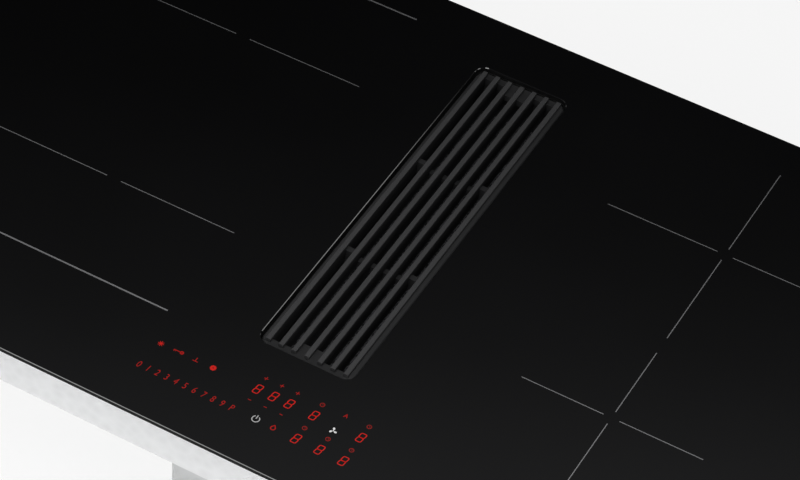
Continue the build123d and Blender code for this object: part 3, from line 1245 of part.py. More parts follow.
def make_lid_hinge_bracket():
    """Two ears against the front of the terminal box, joined by the pin that carries the lid."""
    ear_x = LID_KNUCKLE_LENGTH / 2 + LID_GAP + LID_EAR_LENGTH / 2
    front_y = LID_HINGE_Y - LID_KNUCKLE_RADIUS
    wall_y = TERMINAL_Y - TERMINAL_DEPTH / 2
    ear_y = (front_y + wall_y) / 2
    ear_z = LID_HINGE_Z - LID_KNUCKLE_RADIUS
    pin_length = LID_KNUCKLE_LENGTH + 2 * LID_GAP + 2 * LID_EAR_LENGTH
    bracket = across(LID_PIN_RADIUS, pin_length, LID_HINGE_Y, LID_HINGE_Z)
    ear_height = 2 * LID_KNUCKLE_RADIUS
    for side in (-1, 1):
        bracket += block(LID_EAR_LENGTH, wall_y - front_y, ear_height, TERMINAL_X + side * ear_x, ear_y, ear_z)
    return bracket


def make_terminal_block():
    z = PAN_BOTTOM_Z - TERMINAL_WALL - BLOCK_HEIGHT
    y = TERMINAL_Y - TERMINAL_DEPTH / 2 + TERMINAL_WALL + BLOCK_DEPTH / 2 + LID_GAP
    terminal = block(BLOCK_WIDTH, BLOCK_DEPTH, BLOCK_HEIGHT, TERMINAL_X, y, z)
    pitch = BLOCK_WIDTH / BLOCK_WAYS
    for way in range(BLOCK_WAYS):
        x = TERMINAL_X + (way - (BLOCK_WAYS - 1) / 2) * pitch
        terminal -= block(pitch / 2, pitch / 2, BLOCK_HEIGHT / 2, x, y, z)
    return terminal


def gland_place():
    """Where the gland leaves the back wall of the terminal box, with Z along the cable."""
    y = TERMINAL_Y + TERMINAL_DEPTH / 2
    return Pos(TERMINAL_X, y, TERMINAL_Z + TERMINAL_HEIGHT / 2) * Rot(-90, 0, 0)


def gland_body(start, length):
    return peg(GLAND_BODY_RADIUS, length, 0, 0, start)


def make_cable_gland():
    """Body through the wall, hexagon and domed nut outside, bored for the cable."""
    hexagon = extrude(RegularPolygon(GLAND_HEX_WIDTH / 2, 6, major_radius=False), amount=GLAND_HEX_LENGTH)
    nut = extrude(RegularPolygon(GLAND_BODY_RADIUS, PEG_SIDES), amount=GLAND_DOME_LENGTH, taper=GLAND_TAPER)
    gland = gland_body(-TERMINAL_WALL, TERMINAL_WALL) + hexagon + Pos(0, 0, GLAND_HEX_LENGTH) * nut
    length = TERMINAL_WALL + GLAND_HEX_LENGTH + GLAND_DOME_LENGTH
    return gland_place() * (gland - rod(GLAND_BORE_RADIUS, length, 0, 0, -TERMINAL_WALL))


# ---------------------------------------------------------------------------------------------------------
# Spring clips
# ---------------------------------------------------------------------------------------------------------


def clip_screw_z():
    return PAN_TOP_Z - CLIP_TOP_DROP - CLIP_HEIGHT + CLIP_FOOT / 2


def clip_screw_shank(side, y):
    """The shank of a clip's screw, which points into the pan from the outside of the clip."""
    shank = peg(CLIP_SCREW_RADIUS, CLIP_SCREW_LENGTH, 0, 0, 0, SCREW_SIDES)
    start_x = side * (PAN_WIDTH / 2 + CLIP_SHEET)
    return Pos(start_x, y, clip_screw_z()) * Rot(0, -90 * side, 0) * shank


def make_mounting_springs():
    """A strip that is screwed on at its foot and bows out above it, twice on each side of the pan."""
    foot_z = PAN_TOP_Z - CLIP_TOP_DROP - CLIP_HEIGHT
    knee_z = foot_z + CLIP_FOOT
    crown_z = knee_z + (CLIP_HEIGHT - CLIP_FOOT) / 2
    top_z = foot_z + CLIP_HEIGHT
    inner = [(0, foot_z), (0, knee_z), (CLIP_BULGE, crown_z), (0, top_z)]
    outer = [(x + CLIP_SHEET, z) for x, z in reversed(inner)]
    section = make_face(Polyline(*inner, *outer, close=True))
    strip = extrude(Plane.XZ * section, amount=CLIP_WIDTH / 2, both=True)
    right = [Pos(PAN_WIDTH / 2, y, 0) * strip - clip_screw_shank(1, y) for y in (-CLIP_Y, CLIP_Y)]
    return group(right + [mirror(clip, about=Plane.YZ) for clip in right])


def make_mounting_spring_screws():
    screws = []
    for side in (-1, 1):
        for y in (-CLIP_Y, CLIP_Y):
            head = peg(CLIP_SCREW_HEAD_RADIUS, CLIP_SCREW_HEAD_HEIGHT, 0, 0, 0, SCREW_SIDES)
            seat_x = side * (PAN_WIDTH / 2 + CLIP_SHEET)
            head = Pos(seat_x, y, clip_screw_z()) * Rot(0, 90 * side, 0) * head
            screws.append(head + clip_screw_shank(side, y))
    return group(screws)


# ---------------------------------------------------------------------------------------------------------
# All nodes
# ---------------------------------------------------------------------------------------------------------


def make_nodes():
    nodes = {
        "glass_plate": make_glass_plate(),
        "worktop_seal": make_worktop_seal(),
        "glass_adhesive": make_glass_adhesive(),
        "carrier_frame": make_carrier_frame(),
        "base_pan": make_base_pan(),
        "intake_collar": make_intake_collar(),
        "collar_seal": make_collar_seal(),
        "grille": make_grille(),
        "grille_pads": make_grille_pads(),
        "filter_frame": make_filter_frame(),
        "filter_mesh": make_filter_mesh(),
        "filter_handle": make_filter_handle(),
        "drip_tray": make_drip_tray(),
        "ferrite_bars": make_ferrite_bars(),
        "coil_insulation_sheets": make_coil_insulation_sheets(),
        "coil_springs": make_coil_springs(),
        "touch_carrier": make_touch_carrier(),
        "touch_board": make_touch_board(),
        "display_modules": make_display_modules(),
        "air_box": make_air_box(),
        "box_gasket": make_box_gasket(),
        "bottom_cover": make_bottom_cover(),
        "bottom_cover_screws": make_bottom_cover_screws(),
        "scroll_base": make_scroll_base(),
        "scroll_cover": make_scroll_cover(),
        "inlet_ring": make_inlet_ring(),
        "impeller_disc": make_impeller_disc(),
        "impeller_blades": make_impeller_blades(),
        "impeller_ring": make_impeller_ring(),
        "impeller_shaft": make_impeller_shaft(),
        "blower_motor": make_blower_motor(),
        "motor_screws": make_motor_screws(),
        "outlet_spigot": make_outlet_spigot(),
        "terminal_box": make_terminal_box(),
        "terminal_lid": make_terminal_lid(),
        "lid_hinge_bracket": make_lid_hinge_bracket(),
        "terminal_block": make_terminal_block(),
        "cable_gland": make_cable_gland(),
        "mounting_springs": make_mounting_springs(),
        "mounting_spring_screws": make_mounting_spring_screws(),
    }
    for name, (centre, shape) in COILS.items():
        nodes["coil_winding_" + name] = make_coil_winding(centre, shape)
        nodes["coil_carrier_" + name] = make_coil_carrier(centre, shape)
    for name, x in SIDES.items():
        nodes["coil_plate_" + name] = make_coil_plate(x)
        nodes["board_tray_" + name] = make_board_tray(x)
        nodes["power_board_" + name] = make_power_board(x)
        nodes["heat_sink_" + name] = make_heat_sink(x)
    for name, x in FAN_SIDES.items():
        nodes["fan_housing_" + name] = make_fan_housing(x)
        nodes["fan_rotor_" + name] = make_fan_rotor(x)
    return nodes


os.makedirs("parts", exist_ok=True)
for node_name, node_part in make_nodes().items():
    export_step(node_part, "parts/" + node_name + ".step")
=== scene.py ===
"""Looks of a downdraft induction cooktop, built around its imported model.

The scene is in metres. Measures of the part are named in millimetres.
"""

import random
from math import copysign, cos, pi, radians, sin

import bmesh
import bpy
from mathutils import Matrix, Vector


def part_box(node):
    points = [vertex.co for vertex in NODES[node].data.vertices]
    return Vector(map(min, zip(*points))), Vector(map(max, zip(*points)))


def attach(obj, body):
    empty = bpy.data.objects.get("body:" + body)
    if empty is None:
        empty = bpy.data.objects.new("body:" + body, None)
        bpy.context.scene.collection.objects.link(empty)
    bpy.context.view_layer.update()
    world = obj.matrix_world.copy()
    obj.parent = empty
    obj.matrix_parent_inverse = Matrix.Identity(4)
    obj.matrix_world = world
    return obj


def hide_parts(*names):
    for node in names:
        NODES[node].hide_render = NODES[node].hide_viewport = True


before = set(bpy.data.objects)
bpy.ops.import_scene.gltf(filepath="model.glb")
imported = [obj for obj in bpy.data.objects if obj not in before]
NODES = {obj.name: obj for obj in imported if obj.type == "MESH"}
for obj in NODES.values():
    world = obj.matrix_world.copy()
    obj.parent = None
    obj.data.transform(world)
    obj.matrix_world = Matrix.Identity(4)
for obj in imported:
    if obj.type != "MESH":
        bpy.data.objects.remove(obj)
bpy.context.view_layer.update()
MM = 0.001

# ---------------------------------------------------------------------------------------------------------
# Measures of the glass and of what is printed on it, in millimetres
# ---------------------------------------------------------------------------------------------------------

GLASS_LOW, GLASS_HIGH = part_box("glass_plate")
GLASS_WIDTH = (GLASS_HIGH.x - GLASS_LOW.x) / MM
GLASS_DEPTH = (GLASS_HIGH.y - GLASS_LOW.y) / MM
GLASS_TOP = GLASS_HIGH.z / MM
GLASS_BOTTOM = GLASS_LOW.z / MM
FRONT_Y = GLASS_LOW.y / MM
GLASS_CORNER = 6.0
# Insets of the chamfers round the top and round the underside
GLASS_EDGE = 0.45
LOWER_EDGE = GLASS_EDGE / 3
# How far the polished surface, and the print on it, lie below the CAD glass's top
GLASS_SKIN = 0.04
PRINT_DROP = 0.01
OPENING_WIDTH = 81.9
OPENING_LENGTH = 351.0
OPENING_CORNER = 9.0
OPENING_Y = 27.0
CORNER_STEPS = 10
ARC_STEPS = 28
DISC_STEPS = 20
# A straight side ends in a short stretch of this length, so that the rest of it is shaded flat
SHOULDER = 0.3
SHARP_ANGLE = radians(20)
# Faces whose normal rises less than this are the glass's ground sides and underside
SLOPING = 0.3

# Places on the glass are given from its middle in X and from its front edge in Y
THICK_LINE = 1.35
THIN_LINE = 0.7
ZONE_LEFT = -330.8
ZONE_RIGHT = -111.5
ZONE_GAP = (-227.6, -214.7)
ZONE_LINES = ((97.3, THICK_LINE), (192.3, THIN_LINE), (384.5, THIN_LINE), (479.0, THICK_LINE))
SPLIT_LINES = (192.3, 384.5)
CROSS_X = 220.5
FRONT_CROSS_Y = 181.1
FRONT_CROSS_REACH = 75.0
REAR_CROSS_Y = 375.3
REAR_CROSS_REACH = 101.8
CROSS_GAP = 6.6

DIGIT_WIDTH = 4.5
DIGIT_HEIGHT = 8.6
DIGIT_STROKE = 0.8
DIGIT_CORNER = 1.1
DIGIT_STEPS = 4
DIGIT_SLANT = 0.14
TIMER_PLACES = ((-13.8, 66.9), (-0.3, 66.9), (13.2, 66.9))
ZONE_DIGIT_PLACES = ((34.2, 66.9), (73.8, 66.9), (34.2, 41.1), (53.9, 41.1), (73.8, 41.1))
PLUS_Y = 78.9
MINUS_Y = 54.9
SIGN_SIZE = 3.4
MINUS_SIZE = 2.7
SIGN_STROKE = 0.6
CLOCK_PLACES = ((34.2, 79.0), (73.8, 79.0), (34.4, 53.0), (54.0, 53.0), (73.9, 53.0))
CLOCK_RADIUS = 1.7
CLOCK_STROKE = 0.7
CLOCK_HANDS = ((0.0, 1.2), (0.9, -0.3))
HAND_STROKE = 0.4
AUTO_PLACE = (54.2, 79.0)
AUTO_SIZE = 0.85
# Start, end and width of each stroke
AUTO_STROKES = (
    ((-1.6, -1.9), (0.0, 2.0), 0.7),
    ((1.6, -1.9), (0.0, 2.0), 0.7),
    ((-1.0, -0.6), (1.0, -0.6), 0.55),
)
FAN_PLACE = (53.4, 61.9)
FAN_TURNS = (105, -15, 225)
FAN_REACH = 2.05
FAN_BLADE = (1.15, 0.85)
FAN_BLADE_LEAN = 0.3
FAN_STEM = 0.5
POWER_PLACE = (-0.3, 41.6)
POWER_RADIUS = 2.9
POWER_STROKE = 0.75
POWER_ARC = (122, 418)
POWER_STEPS = 36
POWER_BAR_RISE = 2.0
POWER_BAR_LENGTH = 3.6
DROP_PLACE = (14.8, 41.3)
DROP_RADIUS = 1.75
DROP_DIP = 0.5
DROP_ARC = (140, 400)
DROP_STROKE = 0.9
DROP_SHOULDER = radians(40)
DROP_TIP = 2.5
DROP_TIP_STROKE = 0.8
SCALE_DIGITS = "0123456789P"
SCALE_START = -101.0
SCALE_PITCH = 8.0
SCALE_Y = 41.0
SCALE_HEIGHT = 6.2
SCALE_NARROWING = 0.76
# The font's size for each unit of a digit's height, and the steps of each of its curves
FONT_SCALE = 1.38
FONT_STEPS = 4
# Bars are given as x, y, width, height from a sign's own place, and rings as x, y, radius, stroke
KEY_PLACE = (-83.0, 67.3)
KEY_RING = (3.1, -0.1, 1.1, 1.1)
KEY_BARS = ((-0.9, 0.0, 5.8, 0.8), (-3.4, -0.8, 0.8, 1.3), (-2.0, -0.7, 0.6, 0.9))
TEE_PLACE = (-67.4, 67.1)
TEE_BARS = ((0.0, -1.6, 4.6, 0.7), (0.0, 0.4, 0.7, 3.4))
BLOCK_PLACE = (-52.5, 66.9)
BLOCK_RADIUS = 1.55
BLOCK_STROKE = 2.1
BLOCK_SIDES = 8
STAR_PLACE = (-97.9, 66.8)
STAR_RAYS = 8
STAR_DISC = 1.1
STAR_RAY_START = 1.2
STAR_REACH = 2.4
STAR_STROKE = 0.5

# Soft strips: their widths, their corners, and how finely they are divided
WORKTOP_STRIP = 10.0
COLLAR_STRIP = 6.0
BOX_STRIP = 7.0
ADHESIVE_STRIP = 8.0
STRIP_CORNER = 2.0
SMALLEST_CORNER = 0.5
SOFT_CORNER_STEPS = 4
SOFT_STEP = 6.0
UNEVENNESS = 0.15
SECTION_POINTS = 16
# A power below 1 makes a round section squarer
SECTION_POWER = 0.45

# Soft pads: shares of the thickness, of the edge, and of half the width
PAD_EDGE = 0.35
PAD_RISE = 0.07
PAD_SHOULDER_INSET = 0.3
PAD_SHOULDER_DROP = 0.5
PAD_INNER_CORNER = 0.6
PAD_RINGS = (0.12, 0.3, 0.5, 0.7, 0.88)
GRILLE_PAD_WIDTH = 2.6
GRILLE_PAD_LENGTH = 12.0
GRILLE_PAD_CORNER = 0.8

# Windings: every second point of a bundle's section is drawn in, so that its strands show
COIL_CORNERS = {"left_front": 60.0, "left_rear": 60.0, "right_front": 75.0, "right_rear": 102.0}
COIL_CORNER_STEPS = 8
SMALLEST_TURN = 8.0
WINDING_BAND = 52.0
LITZ_PITCH = 4.3
STRANDS = 6
STRAND_DIP = 0.93
TWIST_LENGTH = 90.0

# ---------------------------------------------------------------------------------------------------------
# Camera, lamps, world and floor, in metres
# ---------------------------------------------------------------------------------------------------------

CAMERA_PLACE = Vector((0.7555, -1.5243, 2.0000))
CAMERA_AZIMUTH = radians(26.408)
CAMERA_ELEVATION = radians(46.475)
CAMERA_ROLL = radians(4.323)
# Lens and sensor are in millimetres
CAMERA_LENS = 144.16
SENSOR_WIDTH = 36.0

LAMP_TARGET = Vector((0.0, 0.0, 0.21))
# name: (direction from the target, distance, width, height, watts)
LAMPS = {
    "right_softbox": (Vector((0.80, 0.10, 0.60)), 2.6, 1.0, 1.0, 12.0),
    "front_softbox": (Vector((-0.373, -0.764, 0.526)), 1.77, 1.0, 0.56, 11.0),
    "left_softbox": (Vector((-0.85, 0.20, 0.55)), 3.0, 1.4, 1.4, 8.0),
    "top_softbox": (Vector((0.08, -0.44, 0.74)), 0.84, 0.42, 0.42, 4.7),
}
FLOOR_SIZE = 14.0
FLOOR_COLOUR = (0.93, 0.93, 0.93)
FLOOR_CLOUD_SCALE = 1.4
FLOOR_CLOUD_SHADE = 0.98
# The camera sees this share of the floor as an even light of this level
FLOOR_SEEN_SHARE = 0.86
FLOOR_SEEN_LEVEL = 0.99
# The horizon fades into the ceiling between these heights of the view
HORIZON_COLOUR = (0.86, 0.86, 0.86, 1.0)
HORIZON_SPAN = (0.02, 0.22)
# A round glow low in the studio: its direction, how near to it the glow starts and peaks, and its level
GLOW_DIRECTION = Vector((0.731, 0.598, 0.326))
GLOW_SPAN = (0.9975, 0.9999)
GLOW_LEVEL = 3.9
# The studio's ceiling brightens along this direction; the stops are (place along it, level)
CEILING_DIRECTION = Vector((0.3225, -0.6494, 0.6887))
CEILING_BLUE = 1.02
CEILING_STOPS = (
    (-0.25, 0.008),
    (-0.08, 0.009),
    (-0.03, 0.028),
    (0.0, 0.053),
    (0.03, 0.096),
    (0.07, 0.22),
    (0.13, 0.36),
    (0.35, 0.36),
    (0.6, 0.12),
    (1.0, 0.07),
)
CEILING_SPAN = (CEILING_STOPS[0][0], CEILING_STOPS[-1][0])


def make_camera():
    """The camera, solved from the part's own straight edges."""
    azimuth, elevation = CAMERA_AZIMUTH, CAMERA_ELEVATION
    back = Vector((sin(azimuth) * cos(elevation), -cos(azimuth) * cos(elevation), sin(elevation)))
    level_right = Vector((cos(azimuth), sin(azimuth), 0.0))
    level_up = back.cross(level_right)
    right = level_right * cos(CAMERA_ROLL) + level_up * sin(CAMERA_ROLL)
    up = level_up * cos(CAMERA_ROLL) - level_right * sin(CAMERA_ROLL)
    data = bpy.data.cameras.new("camera")
    data.sensor_fit = "HORIZONTAL"
    data.sensor_width = SENSOR_WIDTH
    data.lens = CAMERA_LENS
    camera = bpy.data.objects.new("camera", data)
    turn = Matrix((right, up, back)).transposed().to_4x4()
    camera.matrix_world = Matrix.Translation(CAMERA_PLACE) @ turn
    bpy.context.scene.collection.objects.link(camera)
    bpy.context.scene.camera = camera


def make_lamps():
    """Softboxes round the part, all aimed at one point."""
    for name, (direction, distance, width, height, watts) in LAMPS.items():
        data = bpy.data.lights.new(name, "AREA")
        data.shape = "RECTANGLE"
        data.size = width
        data.size_y = height
        data.energy = watts
        lamp = bpy.data.objects.new(name, data)
        place = LAMP_TARGET + direction.normalized() * distance
        aim = (place - LAMP_TARGET).to_track_quat("Z", "Y").to_matrix().to_4x4()
        lamp.matrix_world = Matrix.Translation(place) @ aim
        bpy.context.scene.collection.objects.link(lamp)


def make_world():
    """A studio that is pale at the horizon, with a ceiling that brightens from one side to the other."""
    world = bpy.data.worlds.new("studio")
    world.use_nodes = True
    tree = world.node_tree
    view = tree.nodes.new("ShaderNodeTexCoord").outputs["Generated"]

    def nearness(direction):
        """How far the view runs along a direction."""
        node = tree.nodes.new("ShaderNodeVectorMath")
        node.operation = "DOT_PRODUCT"
        node.inputs[1].default_value = direction
        tree.links.new(view, node.inputs[0])
        return node.outputs["Value"]

    def rise(value, span, interpolation, level=1.0):
        """A number that goes from 0 to the level as the value goes through the span."""
        node = tree.nodes.new("ShaderNodeMapRange")
        node.interpolation_type = interpolation
        node.inputs["From Min"].default_value = span[0]
        node.inputs["From Max"].default_value = span[1]
        node.inputs["To Max"].default_value = level
        tree.links.new(value, node.inputs["Value"])
        return node.outputs["Result"]

    ceiling = tree.nodes.new("ShaderNodeValToRGB")
    stops = ceiling.color_ramp.elements
    # A new ramp has two stops already
    for index, (reach, level) in enumerate(CEILING_STOPS):
        position = (reach - CEILING_SPAN[0]) / (CEILING_SPAN[1] - CEILING_SPAN[0])
        stop = stops[index] if index < 2 else stops.new(position)
        stop.position = position
        stop.color = (level, level, level * CEILING_BLUE, 1.0)
    tree.links.new(rise(nearness(CEILING_DIRECTION), CEILING_SPAN, "LINEAR"), ceiling.inputs["Fac"])
    split = tree.nodes.new("ShaderNodeSeparateXYZ")
    tree.links.new(view, split.inputs[0])
    mix = tree.nodes.new("ShaderNodeMix")
    mix.data_type = "RGBA"
    mix.inputs["A"].default_value = HORIZON_COLOUR
    tree.links.new(rise(split.outputs["Z"], HORIZON_SPAN, "SMOOTHSTEP"), mix.inputs["Factor"])
    tree.links.new(ceiling.outputs["Color"], mix.inputs["B"])
    glow = rise(nearness(GLOW_DIRECTION.normalized()), GLOW_SPAN, "SMOOTHSTEP", GLOW_LEVEL)
    total = tree.nodes.new("ShaderNodeVectorMath")
    tree.links.new(mix.outputs["Result"], total.inputs[0])
    tree.links.new(glow, total.inputs[1])
    tree.links.new(total.outputs["Vector"], tree.nodes["Background"].inputs["Color"])
    bpy.context.scene.world = world


def make_floor():
    """A pale floor that the camera sees almost evenly white."""
    mesh = bpy.data.meshes.new("floor")
    half = FLOOR_SIZE / 2
    corners = [(-half, -half, 0), (half, -half, 0), (half, half, 0), (-half, half, 0)]
    mesh.from_pydata(corners, [], [(0, 1, 2, 3)])
    floor = bpy.data.objects.new("floor", mesh)
    bpy.context.scene.collection.objects.link(floor)
    graph = Graph("studio_floor")
    tone = graph.noise(scale=FLOOR_CLOUD_SCALE, detail=2)
    graph.shade(graph.blend(tone, scaled(FLOOR_COLOUR, FLOOR_CLOUD_SHADE), FLOOR_COLOUR))
    graph.set(roughness=0.9, specular=0.1)
    seen = graph.add("ShaderNodeEmission")
    seen.inputs["Color"].default_value = (FLOOR_SEEN_LEVEL, FLOOR_SEEN_LEVEL, FLOOR_SEEN_LEVEL, 1.0)
    path = graph.add("ShaderNodeLightPath")
    mix = graph.add("ShaderNodeMixShader")
    graph.link(graph.maths("MULTIPLY", path.outputs["Is Camera Ray"], FLOOR_SEEN_SHARE), mix.inputs[0])
    graph.link(graph.shader.outputs["BSDF"], mix.inputs[1])
    graph.link(seen.outputs["Emission"], mix.inputs[2])
    graph.link(mix.outputs[0], graph.tree.nodes["Material Output"].inputs["Surface"])
    mesh.materials.append(graph.material)


# ---------------------------------------------------------------------------------------------------------
# Materials
# ---------------------------------------------------------------------------------------------------------


class Graph:
    """A material whose nodes are added step by step around one principled shader."""

    def __init__(self, name):
        self.material = bpy.data.materials.new(name)
        self.material.use_nodes = True
        self.tree = self.material.node_tree
        self.shader = self.tree.nodes["Principled BSDF"]
        self.height = None
        coordinates = self.tree.nodes.new("ShaderNodeTexCoord")
        self.place = coordinates.outputs["Object"]

    def add(self, kind, **settings):
        node = self.tree.nodes.new(kind)
        for key, value in settings.items():
            setattr(node, key, value)
        return node

    def link(self, source, target):
        self.tree.links.new(source, target)

    def stretched(self, stretch):
        """Object coordinates, scaled by one factor per axis."""
        mapping = self.add("ShaderNodeMapping")
        mapping.inputs["Scale"].default_value = stretch
        self.link(self.place, mapping.inputs["Vector"])
        return mapping.outputs["Vector"]

    def noise(self, scale, detail=4, stretch=(1, 1, 1)):
        node = self.add("ShaderNodeTexNoise")
        node.inputs["Scale"].default_value = scale
        node.inputs["Detail"].default_value = detail
        self.link(self.stretched(stretch), node.inputs["Vector"])
        return node.outputs["Fac"]

    def cells(self, scale, feature="F1", stretch=(1, 1, 1)):
        node = self.add("ShaderNodeTexVoronoi", feature=feature)
        node.inputs["Scale"].default_value = scale
        self.link(self.stretched(stretch), node.inputs["Vector"])
        return node.outputs["Distance"]

    def bands(self, scale, direction, distortion):
        node = self.add("ShaderNodeTexWave", bands_direction=direction)
        node.inputs["Scale"].default_value = scale
        node.inputs["Distortion"].default_value = distortion
        self.link(self.place, node.inputs["Vector"])
        return node.outputs["Fac"]

    def maths(self, operation, first, second):
        node = self.add("ShaderNodeMath", operation=operation)
        for socket, value in zip(node.inputs, (first, second)):
            if isinstance(value, (int, float)):
                socket.default_value = value
            else:
                self.link(value, socket)
        return node.outputs[0]

    def weighted(self, first, first_share, second, second_share):
        """The sum of two factors, each times its share."""
        shares = [self.maths("MULTIPLY", first, first_share), self.maths("MULTIPLY", second, second_share)]
        return self.maths("ADD", *shares)

    def blend(self, factor, low, high, start=0.35, end=0.65):
        """A colour that goes from low to high as the factor goes from start to end."""
        ramp = self.add("ShaderNodeValToRGB")
        stops = ramp.color_ramp.elements
        stops[0].position, stops[0].color = start, (*low, 1.0)
        stops[1].position, stops[1].color = end, (*high, 1.0)
        self.link(factor, ramp.inputs["Fac"])
        return ramp.outputs["Color"]

    def mix(self, factor, first, second):
        node = self.add("ShaderNodeMix", data_type="RGBA")
        self.link(factor, node.inputs["Factor"])
        for socket, value in ((node.inputs["A"], first), (node.inputs["B"], second)):
            if isinstance(value, tuple):
                socket.default_value = (*value, 1.0)
            else:
                self.link(value, socket)
        return node.outputs["Result"]

    def span(self, factor, low, high):
        """A number that goes from low to high with the factor."""
        node = self.add("ShaderNodeMapRange")
        node.inputs["To Min"].default_value = low
        node.inputs["To Max"].default_value = high
        self.link(factor, node.inputs["Value"])
        return node.outputs["Result"]

    def shade(self, colour):
        self.link(colour, self.shader.inputs["Base Color"])

    def set(self, roughness=None, metallic=None, specular=None):
        """Values that are the same all over the surface, set on the shader itself."""
        values = {"Roughness": roughness, "Metallic": metallic, "Specular IOR Level": specular}
        for socket, value in values.items():
            if value is not None:
                self.shader.inputs[socket].default_value = value

    def rough(self, value):
        self.link(value, self.shader.inputs["Roughness"])

    def bump(self, height, strength, depth):
        """Adds relief, in metres, to the relief that is there already."""
        node = self.add("ShaderNodeBump")
        node.inputs["Strength"].default_value = strength
        node.inputs["Distance"].default_value = depth
        self.link(height, node.inputs["Height"])
        if self.height is not None:
            self.link(self.height, node.inputs["Normal"])
        self.height = node.outputs["Normal"]
        self.link(self.height, self.shader.inputs["Normal"])


def scaled(colour, factor):
    """A colour made lighter or darker, with no channel above 1."""
    return tuple(min(channel * factor, 1.0) for channel in colour)


def moulded(name, colour, roughness=0.5, grain=1400.0, variation=0.1):
    """Moulded plastic: fine spark-eroded grain over slow changes of tone."""
    graph = Graph(name)
    tone = graph.noise(scale=9.0, detail=3)
    graph.shade(graph.blend(tone, scaled(colour, 1 - variation), scaled(colour, 1 + variation)))
    texture = graph.noise(scale=grain, detail=2)
    graph.rough(graph.span(texture, low=roughness - 0.08, high=roughness + 0.08))
    graph.set(specular=0.4)
    graph.bump(texture, strength=0.25, depth=0.0002)
    return graph.material


def sheet_metal(name, colour, roughness=0.35, stretch=(2, 60, 60), variation=0.08):
    """Rolled sheet with a fine grain along one direction and faint handling marks."""
    graph = Graph(name)
    grain = graph.noise(scale=30.0, detail=6, stretch=stretch)
    smudge = graph.noise(scale=6.0, detail=3)
    tone = graph.weighted(grain, 0.6, smudge, 0.4)
    darker, lighter = scaled(colour, 1 - variation), scaled(colour, 1 + variation)
    graph.shade(graph.blend(tone, darker, lighter, start=0.3, end=0.7))
    graph.rough(graph.span(tone, low=roughness - 0.1, high=roughness + 0.1))
    graph.set(metallic=0.85)
    graph.bump(grain, strength=0.12, depth=0.0001)
    return graph.material


def galvanised(name, colour):
    """Zinc coat with its crystal spangle."""
    graph = Graph(name)
    spangle = graph.cells(scale=110.0)
    cloud = graph.noise(scale=14.0, detail=3)
    tone = graph.weighted(spangle, 0.7, cloud, 0.5)
    graph.shade(graph.blend(tone, scaled(colour, 0.95), scaled(colour, 1.04), start=0.25, end=0.85))
    graph.rough(graph.span(spangle, low=0.36, high=0.46))
    graph.set(metallic=0.5)
    graph.bump(cloud, strength=0.08, depth=0.0002)
    return graph.material


def rubbery(name, colour, grain=500.0):
    """Foam or silicone: open pores on a matt skin."""
    graph = Graph(name)
    pores = graph.cells(scale=grain)
    graph.shade(graph.blend(pores, scaled(colour, 0.6), scaled(colour, 1.3), start=0.1, end=0.6))
    graph.set(roughness=0.85, specular=0.25)
    graph.bump(pores, strength=0.5, depth=0.0003)
    return graph.material


def black_glass():
    """Black glass ceramic: mirror-like top with a faint cloud in its depth."""
    graph = Graph("black_glass")
    cloud = graph.noise(scale=3.0, detail=3)
    graph.shade(graph.blend(cloud, (0.0016, 0.0016, 0.0017), (0.0024, 0.0024, 0.0026)))
    smear = graph.noise(scale=11.0, detail=5)
    graph.rough(graph.span(smear, low=0.03, high=0.09))
    graph.set(specular=0.5)
    return graph.material


def ground_glass():
    """The glass's side walls and underside: ground matt, with fine grinding lines along the edge."""
    graph = Graph("ground_glass")
    lines = graph.noise(scale=700.0, detail=3, stretch=(0.05, 0.05, 1))
    graph.shade(graph.blend(lines, (0.0018, 0.0018, 0.0019), (0.004, 0.004, 0.0042)))
    graph.rough(graph.span(lines, low=0.5, high=0.7))
    graph.set(specular=0.12)
    graph.bump(lines, strength=0.2, depth=0.0001)
    return graph.material


def cast_enamel():
    """Matt enamel over a casting: pebbled skin, with a painted highlight that makes it a little lighter
    along its edges.
    """
    graph = Graph("grille_enamel")
    pebble = graph.noise(scale=1100.0, detail=3)
    cloud = graph.noise(scale=25.0, detail=4)
    geometry = graph.add("ShaderNodeNewGeometry")
    edges = geometry.outputs["Pointiness"]
    # Painted highlight: convex edges, found by their pointiness, are given a lighter colour
    edge_highlight = graph.blend(edges, (0.0, 0.0, 0.0), (1.0, 1.0, 1.0), start=0.52, end=0.6)
    base = graph.blend(cloud, (0.0092, 0.0092, 0.0097), (0.0128, 0.0128, 0.0133))
    graph.shade(graph.mix(edge_highlight, base, (0.03, 0.03, 0.031)))
    graph.rough(graph.span(pebble, low=0.42, high=0.6))
    graph.set(specular=0.35)
    graph.bump(pebble, strength=0.2, depth=0.0002)
    return graph.material


def litz():
    """Lacquered copper strands, wound side by side."""
    graph = Graph("copper_litz")
    strands = graph.bands(scale=900.0, direction="DIAGONAL", distortion=2.0)
    graph.shade(graph.blend(strands, (0.32, 0.13, 0.06), (0.72, 0.36, 0.18), start=0.1, end=0.9))
    graph.set(metallic=0.8, roughness=0.38)
    graph.bump(strands, strength=0.6, depth=0.0006)
    return graph.material


def expanded_mesh():
    """Layers of expanded foil: small bright strands with dark gaps."""
    graph = Graph("expanded_mesh")
    gaps = graph.cells(scale=420.0, feature="DISTANCE_TO_EDGE", stretch=(1, 0.6, 1))
    graph.shade(graph.blend(gaps, (0.16, 0.16, 0.17), (0.02, 0.02, 0.021), start=0.06, end=0.22))
    graph.set(metallic=0.7, roughness=0.45)
    graph.bump(gaps, strength=0.8, depth=0.0008)
    return graph.material


def felt():
    """Pressed mineral fibres that lie mostly along one direction."""
    graph = Graph("insulation_felt")
    fibres = graph.noise(scale=600.0, detail=6, stretch=(1, 5, 5))
    graph.shade(graph.blend(fibres, (0.66, 0.64, 0.58), (0.88, 0.86, 0.8)))
    graph.set(roughness=0.95, specular=0.1)
    graph.bump(fibres, strength=0.6, depth=0.0005)
    return graph.material


